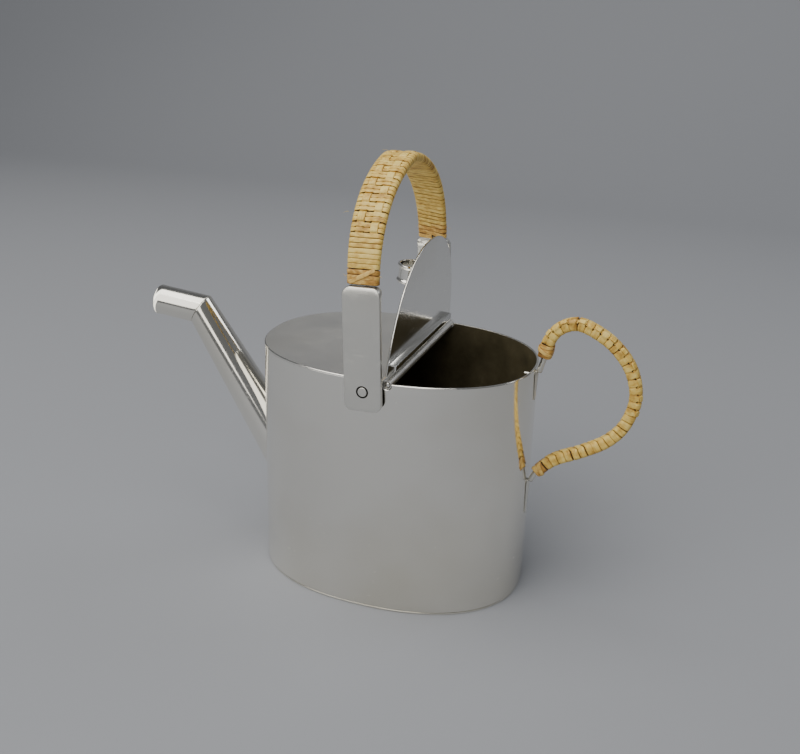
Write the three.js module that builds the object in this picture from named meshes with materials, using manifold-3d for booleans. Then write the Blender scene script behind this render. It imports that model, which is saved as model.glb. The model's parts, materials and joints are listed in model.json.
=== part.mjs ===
// A silver teapot in watering-can form: an oval pot with straight walls, a fixed plate over its
// front half, a hinged lid over its rear half, a mitred spout, a cane-wrapped bail that swings on
// two side rivets, and a fixed cane-wrapped loop handle at the back.
//
// Millimetres. The origin is the centre of the base's flat underside, +Z is up, the spout points
// along -X and the loop handle along +X. "left" is the -Y side and "right" the +Y side.

import * as THREE from "three";
import { mergeVertices } from "three/addons/utils/BufferGeometryUtils.js";
import Module from "manifold-3d";

const wasm = await Module();
wasm.setup();

// ---------------------------------------------------------------- driving dimensions

const seam = 0.3; // gap left at every soldered or resting joint
const cutOver = 5; // how far a hole's cutter reaches past each face

// pot
const bodyLength = 130.6;
const bodyWidth = 94.3;
const bodySquareness = 2.26; // exponent of the superellipse: 2 is an ellipse, more is squarer
const bodyHeight = 115; // underside of the base to the top of the cover
const wallThickness = 1.2;
const baseThickness = 1.0;
const coverThickness = 0.9;
const coverEdgeRound = 0.4;

// hinge between the fixed cover and the lid
const hingeX = 10.5;
const hingeDrop = 1.6; // hinge axis below the top of the cover
const knuckleRadius = 1.95;
const knuckleWall = 0.45;
const knuckleCount = 5; // odd: the first, middle and last are fixed, the others turn with the lid
const pinClearance = 0.2;
const hingeEndInset = 0.2; // hinge end inside the pot's outline

// lid
const lidOpenAngle = 85.6; // degrees from closed
const lidInset = 0.4; // lid edge inside the pot's outline
const stiffenerSize = 2.7;
const stiffenerSheet = 0.7;
const stiffenerFromHinge = 5.7;
const stiffenerEndGapLeft = 0.9; // strip's end to the inside of the wall, lid closed
const stiffenerEndGapRight = 7.0;

// finger ring on the lid
const ringBore = 5.7; // inner radius
const ringSheet = 0.6;
const ringRim = 0.7; // how far each rim stands out of the band
const ringRimWidth = 1.1;
const ringRimFoot = 1.75; // length of each rim where it meets the band
const ringLength = 8.4;
const ringFromHinge = 32.8; // hinge axis to the ring's nearer rim

// spout, in the pot's middle plane
const spoutRootInside = 3.3; // root point to the front of the wall
const spoutRootZ = 52.1;
const spoutRise = 56.75; // degrees above horizontal
const spoutLength = 79.8; // root point to elbow
const spoutRootRadius = 11.3;
const spoutElbowRadius = 7.4;
const spoutSheet = 1.0;
const barrelOver = 26; // barrel's spare length at each end before it is cut
const tipOver = 12;
const tipRise = 5.3; // degrees above horizontal
const tipLength = 23.7;
const strainerHoleRadius = 1.2;
const strainerPitch = 4.4;

// bail pivots
const pivotX = 0.7;
const pivotDrop = 4.9; // pivot axis below the top of the cover
const rivetRadius = 1.5;
const rivetHeadRadius = 2.1;
const rivetHeadHeight = 0.6;
const rivetHeadProud = 0.2;
const rivetHeadBevel = 0.2; // its height; it is twice as wide
const rivetTailRadius = 2.6;
const rivetTailHeight = 0.9;
const backingThickness = 1.0;
const collarRadius = 3.6;
const collarThickness = 0.85;

// bail, measured upwards from its pivot axis
const bailLean = 2; // degrees towards the spout at rest
const strapWidth = 17.1;
const strapThickness = 2.3;
const strapBelow = 9.0;
const strapAbove = 46.3;
const strapCorner = 3.6;
const strapBevelHeight = 3.0;
const strapBevelDepth = 1.8;
const strapEdge = 0.35;
const neckInFromCane = 0.4; // strap's top behind the outside of the cane
const neckOutFromCane = 0.6; // and in front of its inside
const neckHeight = 1.6;
const shoulderHeight = 4.0; // the strap starts to lean in to its neck this far below its top
const countersinkRadius = 2.9;
const countersinkDepth = 0.7;
const archSpring = 44.9; // height of the arch's springing line
const archOutFromStrap = 0.25; // outside of the cane, past the strap's inner face
const archRise = 50; // springing line to the top of the cane
const archLegPull = 0.857; // how far each leg stays upright, as a share of the rise
const archCrownPull = 0.1; // how far the crown stays level, as a share of the half width
const caneFoot = 3.3; // thickness of the cane-wrapped band at the springing line
const caneCrown = 4.3; // and at the top
const caneFootWidth = 14.2;
const caneCrownWidth = 16.4;
const caneEdge = 0.8;
const bindingHeight = 6;
const archCoreThickness = 1.4;
const archCoreWidth = 10.4;

// loop handle: the middle line of the cane, in the pot's middle plane, from the top end to the
// bottom end, as [distance behind the wall, height above the top of the cover]
const loopLine = [
  [3.5, 4.8],
  [4.9, 12.0],
  [9.0, 18.4],
  [17.1, 21.7],
  [29.4, 17.1],
  [37.5, 10.3],
  [42.7, 2.5],
  [45.3, -8.8],
  [41.8, -22.7],
  [35.2, -31.2],
  [24.9, -38.1],
  [11.3, -45.4],
  [4.2, -52.5],
];
const loopCaneWidth = 6.6; // across the pot
const loopCaneDepth = 5.6; // in the loop's plane
const loopCaneCorner = 1.8;
const loopKnotGrowth = 0.6; // how far the knots stand out of the plain wrapping
const loopKnotLength = 6;
const loopCoreRadius = 1.3;
const tongueWidth = 4.4;
const tongueThickness = 1.3;
const upperTongueLength = 14.6;
const upperTongueDrop = 2.6; // its top below the top of the cover, and so on
const lowerTongueLength = 18;
const lowerTongueDrop = 57.4;
const tongueBelly = 0.7; // half width that each flank pulls towards, as a share
const tongueBellyDrop = 0.45; // and how far down it pulls, as a share of the length
const tongueShoulder = 0.6; // half width of the flat top, as a share
const handlePinRadius = 0.6;
const handlePinInside = 4.0;
const handlePinDrop = 4.5;
const wrapSteps = 32; // stations along the wrapping
const knotSteps = 4;
const coreSteps = 44;
const coreGuides = 30; // points of the middle line that the core follows

// ---------------------------------------------------------------- derived places

const bodyA = bodyLength / 2;
const bodyB = bodyWidth / 2;
const coverUnder = bodyHeight - coverThickness;
const wallBottom = baseThickness + seam;
const wallTop = coverUnder - seam;
const hingeZ = bodyHeight - hingeDrop;
const pivotZ = bodyHeight - pivotDrop;
const knuckleBore = knuckleRadius - knuckleWall;
const backingRadius = pivotDrop - coverThickness - 2 * seam;
const strapInner = bodyB + seam + collarThickness + seam;
const strapOuter = strapInner + strapThickness;
const archHalfWidth = strapInner + archOutFromStrap; // outside of the cane at the springing line
const spoutRootX = spoutRootInside - bodyA;
const lowerTongueTop = bodyHeight - lowerTongueDrop;

// ---------------------------------------------------------------- helpers

const X = new THREE.Vector3(1, 0, 0);
const Y = new THREE.Vector3(0, 1, 0);
const Z = new THREE.Vector3(0, 0, 1);
const radians = THREE.MathUtils.degToRad;

// A closed three.js geometry as a manifold solid.
function solid(geometry) {
  const bare = geometry.clone();
  bare.deleteAttribute("normal");
  bare.deleteAttribute("uv");
  const merged = mergeVertices(bare, 1e-4);
  return new wasm.Manifold(
    new wasm.Mesh({
      numProp: 3,
      vertProperties: merged.attributes.position.array,
      triVerts: merged.index.array,
    }),
  );
}

// A manifold solid as a three.js geometry.
function surface(body) {
  const { vertProperties, triVerts } = body.getMesh();
  const geometry = new THREE.BufferGeometry();
  geometry.setAttribute("position", new THREE.BufferAttribute(vertProperties, 3));
  geometry.setIndex(new THREE.BufferAttribute(triVerts, 1));
  geometry.computeVertexNormals();
  return geometry;
}

// One point of the pot's outline, a superellipse, at a turn angle.
function ovalPoint(a, b, angle) {
  const power = 2 / bodySquareness;
  const c = Math.cos(angle);
  const s = Math.sin(angle);
  return new THREE.Vector2(
    a * Math.sign(c) * Math.abs(c) ** power,
    b * Math.sign(s) * Math.abs(s) ** power,
  );
}

// The outline drawn in by an inset.
function ovalPoints(inset, count = 80) {
  return Array.from({ length: count }, (_, i) =>
    ovalPoint(bodyA - inset, bodyB - inset, (2 * Math.PI * i) / count),
  );
}

// Half the outline's width at a distance x from the middle.
function ovalHalfWidth(inset, x) {
  const share = (Math.abs(x) / (bodyA - inset)) ** bodySquareness;
  return (bodyB - inset) * (1 - share) ** (1 / bodySquareness);
}

// A flat plate from a height upwards, with its outline as points.
function plate(points, bottom, thickness, edge = 0) {
  const geometry = new THREE.ExtrudeGeometry(new THREE.Shape(points), {
    depth: thickness - 2 * edge,
    bevelEnabled: edge > 0,
    bevelThickness: edge,
    bevelSize: edge,
    bevelOffset: -edge,
    bevelSegments: 2,
  });
  return geometry.translate(0, 0, bottom + edge);
}

// A round bar from one point to another.
function bar(from, to, radiusFrom, radiusTo = radiusFrom, facets = 16) {
  const along = to.clone().sub(from);
  const geometry = new THREE.CylinderGeometry(radiusTo, radiusFrom, along.length(), facets);
  geometry.applyQuaternion(
    new THREE.Quaternion().setFromUnitVectors(Y, along.clone().normalize()),
  );
  return geometry.translate(...from.clone().addScaledVector(along, 0.5).toArray());
}

// A box between two corners.
function block(low, high) {
  const size = high.map((value, i) => value - low[i]);
  const middle = high.map((value, i) => (value + low[i]) / 2);
  return new THREE.BoxGeometry(...size).translate(...middle);
}

// Everything on the side of a plane that its normal points to, within the object's reach.
function beyond(point, normal, reach = 400) {
  const box = new THREE.BoxGeometry(reach, reach, reach);
  box.applyQuaternion(new THREE.Quaternion().setFromUnitVectors(Z, normal));
  const middle = point.clone().addScaledVector(normal, reach / 2);
  return solid(box.translate(...middle.toArray()));
}

// A turned piece whose axis runs across the pot, outwards on the +Y side. The profile is
// [radius, distance from the middle plane].
function turnedAcross(profile, facets = 16) {
  const points = profile.map(([radius, out]) => new THREE.Vector2(radius, out));
  return new THREE.LatheGeometry(points, facets);
}

// The same piece on the left or the right side of the pot: the left one is turned half round.
function onSide(geometry, side) {
  return side < 0 ? geometry.clone().rotateZ(Math.PI) : geometry.clone();
}

const sides = [
  ["left", -1],
  ["right", 1],
];

const silver = { color: 0xb9b7ae, roughness: 0.18, metalness: 1 };
const wornSilver = { color: 0xa5a399, roughness: 0.32, metalness: 1 };
const cane = { color: 0xc9a257, roughness: 0.6, metalness: 0 };
const knotCane = { color: 0xa87934, roughness: 0.7, metalness: 0 };

function piece(name, geometry, finish) {
  const mesh = new THREE.Mesh(geometry, new THREE.MeshStandardMaterial(finish));
  mesh.name = name;
  return mesh;
}

// ---------------------------------------------------------------- pot

function basePlate() {
  return plate(ovalPoints(0), 0, baseThickness);
}

// Where the spout's middle line starts, turns and ends.
const spoutRoot = new THREE.Vector3(spoutRootX, 0, spoutRootZ);
const spoutAlong = new THREE.Vector3(-Math.cos(radians(spoutRise)), 0, Math.sin(radians(spoutRise)));
const tipAlong = new THREE.Vector3(-Math.cos(radians(tipRise)), 0, Math.sin(radians(tipRise)));
const spoutElbow = spoutRoot.clone().addScaledVector(spoutAlong, spoutLength);
const spoutMouth = spoutElbow.clone().addScaledVector(tipAlong, tipLength);
const spoutTaper = (spoutRootRadius - spoutElbowRadius) / spoutLength;

// Straight holes through the wall inside the spout's foot, in staggered rows.
function strainerHoles() {
  const middle = spoutRootZ + (spoutRootX + bodyA) * Math.tan(radians(spoutRise));
  const inside = spoutRootRadius - spoutSheet - 2 * strainerHoleRadius;
  const stretch = 1 / Math.cos(radians(spoutRise));
  const rowPitch = strainerPitch * Math.sin(radians(60));
  const rows = Math.floor((inside * stretch) / rowPitch);
  const columns = Math.ceil(inside / strainerPitch);
  const holes = [];
  for (let row = -rows; row <= rows; row++) {
    for (let column = -columns; column <= columns; column++) {
      const y = strainerPitch * (column + (row % 2 === 0 ? 0 : 0.5));
      const z = row * rowPitch;
      if (Math.hypot(y, z / stretch) > inside) continue;
      const from = new THREE.Vector3(-bodyA - cutOver, y, middle + z);
      const to = new THREE.Vector3(-bodyA + cutOver, y, middle + z);
      holes.push(solid(bar(from, to, strainerHoleRadius, strainerHoleRadius, 8)));
    }
  }
  return holes;
}

function bodyWall() {
  const outline = new THREE.Shape(ovalPoints(0));
  outline.holes.push(new THREE.Path(ovalPoints(wallThickness)));
  const height = wallTop - wallBottom;
  const tube = new THREE.ExtrudeGeometry(outline, { depth: height, bevelEnabled: false });
  let wall = solid(tube.translate(0, 0, wallBottom));
  for (const hole of strainerHoles()) wall = wall.subtract(hole);
  const cutOut = bodyB + cutOver;
  const across = (x, z, radius) =>
    solid(bar(new THREE.Vector3(x, -cutOut, z), new THREE.Vector3(x, cutOut, z), radius));
  wall = wall.subtract(across(pivotX, pivotZ, rivetRadius + seam));
  const notch = knuckleRadius + seam;
  wall = wall.subtract(across(hingeX, hingeZ, notch));
  wall = wall.subtract(
    solid(block([hingeX - notch, -cutOut, hingeZ], [hingeX + notch, cutOut, bodyHeight])),
  );
  const pinZ = bodyHeight - handlePinDrop;
  const pinHole = bar(
    new THREE.Vector3(bodyA - cutOver, 0, pinZ),
    new THREE.Vector3(bodyA + cutOver, 0, pinZ),
    handlePinRadius + seam,
    handlePinRadius + seam,
    12,
  );
  return surface(wall.subtract(solid(pinHole)));
}

// The fixed plate over the front of the pot, cut straight along the hinge.
function frontCover() {
  const full = solid(plate(ovalPoints(0), coverUnder, coverThickness, coverEdgeRound));
  const edge = new THREE.Vector3(hingeX - knuckleRadius - seam, 0, 0);
  return surface(full.subtract(beyond(edge, X)));
}

// ---------------------------------------------------------------- spout

// The conical part, open at both ends: its foot is cut to the pot's wall and its top is mitred.
function spoutBarrel() {
  const start = spoutRoot.clone().addScaledVector(spoutAlong, -barrelOver);
  const end = spoutElbow.clone().addScaledVector(spoutAlong, barrelOver);
  const startRadius = spoutRootRadius + barrelOver * spoutTaper;
  const endRadius = spoutElbowRadius - barrelOver * spoutTaper;
  const outside = solid(bar(start, end, startRadius, endRadius, 32));
  const bore = solid(bar(start, end, startRadius - spoutSheet, endRadius - spoutSheet, 32));
  const pot = solid(plate(ovalPoints(-seam), -cutOver, bodyHeight + 2 * cutOver));
  const mitre = spoutAlong.clone().add(tipAlong).normalize();
  const face = spoutElbow.clone().addScaledVector(mitre, -seam / 2);
  return surface(outside.subtract(bore).subtract(pot).subtract(beyond(face, mitre)));
}

function spoutTip() {
  const start = spoutElbow.clone().addScaledVector(tipAlong, -tipOver);
  const outside = solid(bar(start, spoutMouth, spoutElbowRadius, spoutElbowRadius, 32));
  const boreEnd = spoutMouth.clone().add(tipAlong);
  const boreRadius = spoutElbowRadius - spoutSheet;
  const bore = solid(bar(start, boreEnd, boreRadius, boreRadius, 32));
  const mitre = spoutAlong.clone().add(tipAlong).normalize().negate();
  const face = spoutElbow.clone().addScaledVector(mitre, -seam / 2);
  return surface(outside.subtract(bore).subtract(beyond(face, mitre)));
}

// ---------------------------------------------------------------- hinge and lid

const hingeHalfLength = ovalHalfWidth(0, hingeX) - hingeEndInset;

// One tube of the hinge about its own axis, between two places across the pot.
function knuckle(index) {
  const pitch = (2 * hingeHalfLength) / knuckleCount;
  const from = -hingeHalfLength + pitch * index + (index > 0 ? seam / 2 : 0);
  const to = -hingeHalfLength + pitch * (index + 1) - (index < knuckleCount - 1 ? seam / 2 : 0);
  const profile = [
    [knuckleBore, from],
    [knuckleRadius, from],
    [knuckleRadius, to],
    [knuckleBore, to],
    [knuckleBore, from],
  ];
  return turnedAcross(profile);
}

function hingePin() {
  const radius = knuckleBore - pinClearance;
  const end = new THREE.Vector3(0, hingeHalfLength, 0);
  return bar(end.clone().negate(), end, radius);
}

// The lid is drawn closed, measured from the hinge axis: x along the lid, z up through it.
function lidPlate() {
  const full = solid(plate(ovalPoints(lidInset), coverUnder, coverThickness, coverEdgeRound));
  const edge = new THREE.Vector3(hingeX + knuckleRadius + seam, 0, 0);
  const lid = full.subtract(beyond(edge, X.clone().negate()));
  return surface(lid.translate(-hingeX, 0, -hingeZ));
}

// An angle strip under the lid: one leg hangs down, the other turns back towards the hinge.
function lidStiffener() {
  const far = stiffenerFromHinge + stiffenerSize;
  const top = coverUnder - seam - hingeZ;
  const half = ovalHalfWidth(wallThickness, hingeX + far);
  const length = 2 * half - stiffenerEndGapLeft - stiffenerEndGapRight;
  const section = new THREE.Shape([
    new THREE.Vector2(far, top),
    new THREE.Vector2(far - stiffenerSheet, top),
    new THREE.Vector2(far - stiffenerSheet, top - stiffenerSize + stiffenerSheet),
    new THREE.Vector2(stiffenerFromHinge, top - stiffenerSize + stiffenerSheet),
    new THREE.Vector2(stiffenerFromHinge, top - stiffenerSize),
    new THREE.Vector2(far, top - stiffenerSize),
  ]);
  const strip = new THREE.ExtrudeGeometry(section, { depth: length, bevelEnabled: false });
  return strip.rotateX(Math.PI / 2).translate(0, half - stiffenerEndGapRight, 0);
}

// A short band with a rim at each end, standing on the lid with its bore along the lid.
function fingerRing() {
  const band = ringBore + ringSheet;
  const rim = band + ringRim;
  const profile = [
    [ringBore, 0],
    [rim, 0],
    [rim, ringRimWidth],
    [band, ringRimFoot],
    [band, ringLength - ringRimFoot],
    [rim, ringLength - ringRimWidth],
    [rim, ringLength],
    [ringBore, ringLength],
    [ringBore, 0],
  ];
  const ring = turnedAcross(profile, 28).rotateZ(-Math.PI / 2);
  return ring.translate(ringFromHinge, 0, bodyHeight - hingeZ + seam + rim);
}

// ---------------------------------------------------------------- bail and its pivots

function pivotRivet() {
  const tailTop = bodyB - wallThickness - seam - backingThickness - seam;
  const headTop = strapOuter + rivetHeadProud;
  return turnedAcross([
    [0, tailTop - rivetTailHeight],
    [rivetTailRadius, tailTop - rivetTailHeight],
    [rivetTailRadius, tailTop],
    [rivetRadius, tailTop],
    [rivetRadius, headTop - rivetHeadHeight],
    [rivetHeadRadius, headTop - rivetHeadHeight],
    [rivetHeadRadius, headTop - rivetHeadBevel],
    [rivetHeadRadius - 2 * rivetHeadBevel, headTop],
    [0, headTop],
  ]);
}

// A washer on the rivet between two distances from the middle plane.
function washer(radius, from, to) {
  const bore = rivetRadius + seam;
  return turnedAcross([
    [bore, from],
    [radius, from],
    [radius, to],
    [bore, to],
    [bore, from],
  ]);
}

// A flat strap with round corners, bevelled at the top, where it steps in to meet the arch.
// Its side view is [distance from the middle plane, height] and is cut to the front view.
function bailStrap() {
  const neckOuter = archHalfWidth - neckInFromCane;
  const neckInner = archHalfWidth - caneFoot + neckOutFromCane;
  const side = new THREE.Shape([
    new THREE.Vector2(strapInner, -strapBelow),
    new THREE.Vector2(strapOuter, -strapBelow),
    new THREE.Vector2(strapOuter, strapAbove - strapBevelHeight),
    new THREE.Vector2(Math.max(strapOuter - strapBevelDepth, neckOuter), strapAbove),
    new THREE.Vector2(neckInner, strapAbove),
    new THREE.Vector2(neckInner, strapAbove - neckHeight),
    new THREE.Vector2(strapInner, strapAbove - shoulderHeight),
  ]);
  const slab = new THREE.ExtrudeGeometry(side, { depth: strapWidth + 2, bevelEnabled: false });
  slab.translate(0, 0, -strapWidth / 2 - 1).applyMatrix4(new THREE.Matrix4().makeBasis(Y, Z, X));

  const half = strapWidth / 2;
  const low = -strapBelow;
  const front = new THREE.Shape();
  front.moveTo(half - strapCorner, low);
  front.absarc(half - strapCorner, low + strapCorner, strapCorner, -Math.PI / 2, 0);
  front.absarc(half - strapCorner, strapAbove - strapCorner, strapCorner, 0, Math.PI / 2);
  front.absarc(-half + strapCorner, strapAbove - strapCorner, strapCorner, Math.PI / 2, Math.PI);
  front.absarc(-half + strapCorner, low + strapCorner, strapCorner, Math.PI, 1.5 * Math.PI);
  const depth = strapThickness + archHalfWidth;
  const outline = new THREE.ExtrudeGeometry(front, {
    depth: depth - 2 * strapEdge,
    bevelThickness: strapEdge,
    bevelSize: strapEdge,
    bevelOffset: -strapEdge,
    bevelSegments: 2,
    curveSegments: 6,
  });
  outline.rotateX(Math.PI / 2).translate(0, strapOuter - strapEdge, 0);

  const out = (distance) => new THREE.Vector3(0, distance, 0);
  const hole = solid(
    bar(out(strapInner - cutOver), out(strapOuter + cutOver), rivetRadius + seam),
  );
  const recess = solid(
    bar(out(strapOuter - countersinkDepth), out(strapOuter + cutOver), countersinkRadius),
  );
  return surface(solid(slab).intersect(solid(outline)).subtract(hole).subtract(recess));
}

// One edge of the arch, from the right foot over the top to the left foot or back again, as a
// Bezier curve on each side. It lies inside the outside of the cane by an inset at foot and crown.
function archEdge(path, foot, crown, direction) {
  const span = archHalfWidth - foot;
  const rise = archRise - crown;
  const leg = rise * archLegPull;
  const level = span * archCrownPull;
  const start = direction * span;
  path.lineTo(start, 0);
  path.bezierCurveTo(start, leg, direction * level, rise, 0, rise);
  path.bezierCurveTo(-direction * level, rise, -start, leg, -start, 0);
}

// A band standing on the springing line between an outer and an inner edge.
function arch(outer, inner, width, edge = 0) {
  const shape = new THREE.Shape();
  shape.moveTo(archHalfWidth - outer[0], 0);
  archEdge(shape, outer[0], outer[1], 1);
  archEdge(shape, inner[0], inner[1], -1);
  const band = new THREE.ExtrudeGeometry(shape, {
    depth: width - 2 * edge,
    bevelEnabled: edge > 0,
    bevelThickness: edge,
    bevelSize: edge,
    bevelOffset: -edge,
    bevelSegments: 1,
    curveSegments: 14,
  });
  band.translate(0, 0, -width / 2 + edge);
  return band.applyMatrix4(new THREE.Matrix4().makeBasis(Y, Z, X)).translate(0, 0, archSpring);
}

// The core lies in the middle of the cane.
const coreInset = {
  foot: (caneFoot - archCoreThickness) / 2,
  crown: (caneCrown - archCoreThickness) / 2,
};

function archCoreBand(grow) {
  const outer = [coreInset.foot - grow, coreInset.crown - grow];
  const inner = [
    coreInset.foot + archCoreThickness + grow,
    coreInset.crown + archCoreThickness + grow,
  ];
  return solid(arch(outer, inner, archCoreWidth + 2 * grow));
}

const archFoot = new THREE.Vector3(0, 0, strapAbove + seam);
const bindingTop = new THREE.Vector3(0, 0, strapAbove + seam + bindingHeight);

function bailCore() {
  return surface(archCoreBand(0).subtract(beyond(archFoot, Z.clone().negate())));
}

// The cane round the core, wider at the top than at the feet.
function caneBand() {
  const band = arch([0, 0], [caneFoot, caneCrown], caneCrownWidth, caneEdge);
  const places = band.attributes.position;
  for (let i = 0; i < places.count; i++) {
    const share = THREE.MathUtils.clamp((places.getZ(i) - archSpring) / archRise, 0, 1);
    const width = THREE.MathUtils.lerp(caneFootWidth, caneCrownWidth, share);
    places.setX(i, (places.getX(i) * width) / caneCrownWidth);
  }
  return solid(band).subtract(archCoreBand(seam));
}

function bailWrap() {
  const top = bindingTop.clone().addScaledVector(Z, seam);
  return surface(caneBand().subtract(beyond(top, Z.clone().negate())));
}

function bailBinding(side) {
  const below = caneBand()
    .subtract(beyond(bindingTop, Z))
    .subtract(beyond(archFoot, Z.clone().negate()));
  return surface(below.subtract(beyond(new THREE.Vector3(), new THREE.Vector3(0, -side, 0))));
}

// ---------------------------------------------------------------- loop handle

const loopCurve = new THREE.CatmullRomCurve3(
  loopLine.map(([behind, above]) => new THREE.Vector3(bodyA + behind, 0, bodyHeight + above)),
);
const loopCurveLength = loopCurve.getLength();

// The part of the cane's middle line between two distances from its top end.
class LoopStretch extends THREE.Curve {
  constructor(from, to) {
    super();
    this.from = from;
    this.to = to;
  }

  getPoint(t, target) {
    const distance = this.from + (this.to - this.from) * t;
    return loopCurve.getPointAt(THREE.MathUtils.clamp(distance / loopCurveLength, 0, 1), target);
  }
}

function alongLoop(section, from, to, steps) {
  return new THREE.ExtrudeGeometry(section, {
    steps,
    extrudePath: new LoopStretch(from, to),
    curveSegments: 4,
    bevelEnabled: false,
  });
}

// The cane's section: a rectangle with cut corners and a round hole for the core.
function loopSection(grow) {
  const w = loopCaneWidth / 2 + grow;
  const d = loopCaneDepth / 2 + grow;
  const c = loopCaneCorner;
  const section = new THREE.Shape([
    new THREE.Vector2(w, -d + c),
    new THREE.Vector2(w, d - c),
    new THREE.Vector2(w - c, d),
    new THREE.Vector2(-w + c, d),
    new THREE.Vector2(-w, d - c),
    new THREE.Vector2(-w, -d + c),
    new THREE.Vector2(-w + c, -d),
    new THREE.Vector2(w - c, -d),
  ]);
  const hole = new THREE.Path();
  hole.absarc(0, 0, loopCoreRadius + seam, 0, 2 * Math.PI);
  section.holes.push(hole);
  return section;
}

// The silver rod inside the cane: it runs out of both ends and down to the two tongues.
function loopCore() {
  const circle = new THREE.Shape();
  circle.absarc(0, 0, loopCoreRadius, 0, 2 * Math.PI);
  const neckX = bodyA + seam + loopCoreRadius;
  const topEnd = bodyHeight - upperTongueDrop + seam;
  const footEnd = lowerTongueTop + seam;
  const inside = Array.from({ length: coreGuides + 1 }, (_, i) =>
    loopCurve.getPointAt(i / coreGuides),
  );
  const path = new THREE.CatmullRomCurve3([
    new THREE.Vector3(neckX, 0, topEnd),
    ...inside,
    new THREE.Vector3(neckX, 0, footEnd),
  ]);
  return new THREE.ExtrudeGeometry(circle, {
    steps: coreSteps,
    extrudePath: path,
    curveSegments: 4,
    bevelEnabled: false,
  });
}

// A pointed tongue lying on the pot's rear wall, its point down.
function tongue(top, length) {
  const half = tongueWidth / 2;
  const shape = new THREE.Shape();
  shape.moveTo(0, -length);
  const belly = half * tongueBelly;
  const bellyDrop = -length * tongueBellyDrop;
  shape.quadraticCurveTo(belly, bellyDrop, half, -half);
  shape.quadraticCurveTo(half, 0, half * tongueShoulder, 0);
  shape.lineTo(-half * tongueShoulder, 0);
  shape.quadraticCurveTo(-half, 0, -half, -half);
  shape.quadraticCurveTo(-belly, bellyDrop, 0, -length);
  const slab = new THREE.ExtrudeGeometry(shape, {
    depth: tongueThickness,
    curveSegments: 6,
    bevelEnabled: false,
  });
  slab.applyMatrix4(new THREE.Matrix4().makeBasis(Y, Z, X));
  return slab.translate(bodyA + seam, 0, top);
}

// A pin that fixes the upper tongue through the wall.
function handlePin() {
  const z = bodyHeight - handlePinDrop;
  const from = new THREE.Vector3(bodyA - wallThickness - handlePinInside, 0, z);
  const to = new THREE.Vector3(bodyA, 0, z);
  return bar(from, to, handlePinRadius, handlePinRadius, 12);
}

// ---------------------------------------------------------------- assembly

const teapot = new THREE.Group();

teapot.add(piece("base_plate", basePlate(), silver));
teapot.add(piece("body_wall", bodyWall(), silver));
teapot.add(piece("front_cover", frontCover(), wornSilver));
teapot.add(piece("spout_barrel", spoutBarrel(), silver));
teapot.add(piece("spout_tip", spoutTip(), silver));

const hinge = new THREE.Group();
hinge.position.set(hingeX, 0, hingeZ);
hinge.add(piece("hinge_pin", hingePin(), silver));

const lid = new THREE.Group();
lid.position.copy(hinge.position);
lid.rotation.y = -radians(lidOpenAngle);
lid.add(piece("lid_plate", lidPlate(), silver));
lid.add(piece("lid_stiffener", lidStiffener(), silver));
lid.add(piece("finger_ring", fingerRing(), silver));

for (let index = 0; index < knuckleCount; index++) {
  const turns = index % 2 === 1;
  const name = (turns ? "lid_knuckle_" : "hinge_knuckle_") + (index + 1);
  (turns ? lid : hinge).add(piece(name, knuckle(index), silver));
}
teapot.add(hinge, lid);

const pivots = new THREE.Group();
pivots.position.set(pivotX, 0, pivotZ);
const bail = new THREE.Group();
bail.position.copy(pivots.position);
bail.rotation.y = -radians(bailLean);
for (const [side, sign] of sides) {
  const backingOut = bodyB - wallThickness - seam;
  const backing = washer(backingRadius, backingOut - backingThickness, backingOut);
  const collar = washer(collarRadius, bodyB + seam, bodyB + seam + collarThickness);
  pivots.add(piece("pivot_rivet_" + side, onSide(pivotRivet(), sign), silver));
  pivots.add(piece("pivot_backing_" + side, onSide(backing, sign), silver));
  pivots.add(piece("pivot_collar_" + side, onSide(collar, sign), silver));
  bail.add(piece("bail_strap_" + side, onSide(bailStrap(), sign), wornSilver));
  bail.add(piece("bail_binding_" + side, bailBinding(sign), knotCane));
}
bail.add(piece("bail_core", bailCore(), wornSilver));
bail.add(piece("bail_wrap", bailWrap(), cane));
teapot.add(pivots, bail);

teapot.add(piece("loop_core", loopCore(), silver));
const knotEnd = loopCurveLength - loopKnotLength;
const wrapFrom = loopKnotLength + seam;
const upperKnot = alongLoop(loopSection(loopKnotGrowth), 0, loopKnotLength, knotSteps);
const loopWrap = alongLoop(loopSection(0), wrapFrom, knotEnd - seam, wrapSteps);
const lowerKnot = alongLoop(loopSection(0), knotEnd, loopCurveLength, knotSteps);
teapot.add(piece("loop_knot_upper", upperKnot, knotCane));
teapot.add(piece("loop_wrap", loopWrap, cane));
teapot.add(piece("loop_knot_lower", lowerKnot, knotCane));
teapot.add(
  piece("loop_tongue_upper", tongue(bodyHeight - upperTongueDrop, upperTongueLength), silver),
  piece("loop_tongue_lower", tongue(lowerTongueTop, lowerTongueLength), silver),
  piece("loop_pin", handlePin(), silver),
);

export default teapot;
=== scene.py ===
"""A silver teapot in watering-can form: an oval pot, a half cover and a hinged half lid, a mitred spout,
a cane-wrapped bail on two rivets and a cane-wrapped loop handle. Sizes are in millimetres until a piece's
mesh is made. -X is the spout's side, +X the loop handle's, and left is the -Y side."""

import json
import math

import bpy
import numpy as np
from mathutils import Matrix, Vector


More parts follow.
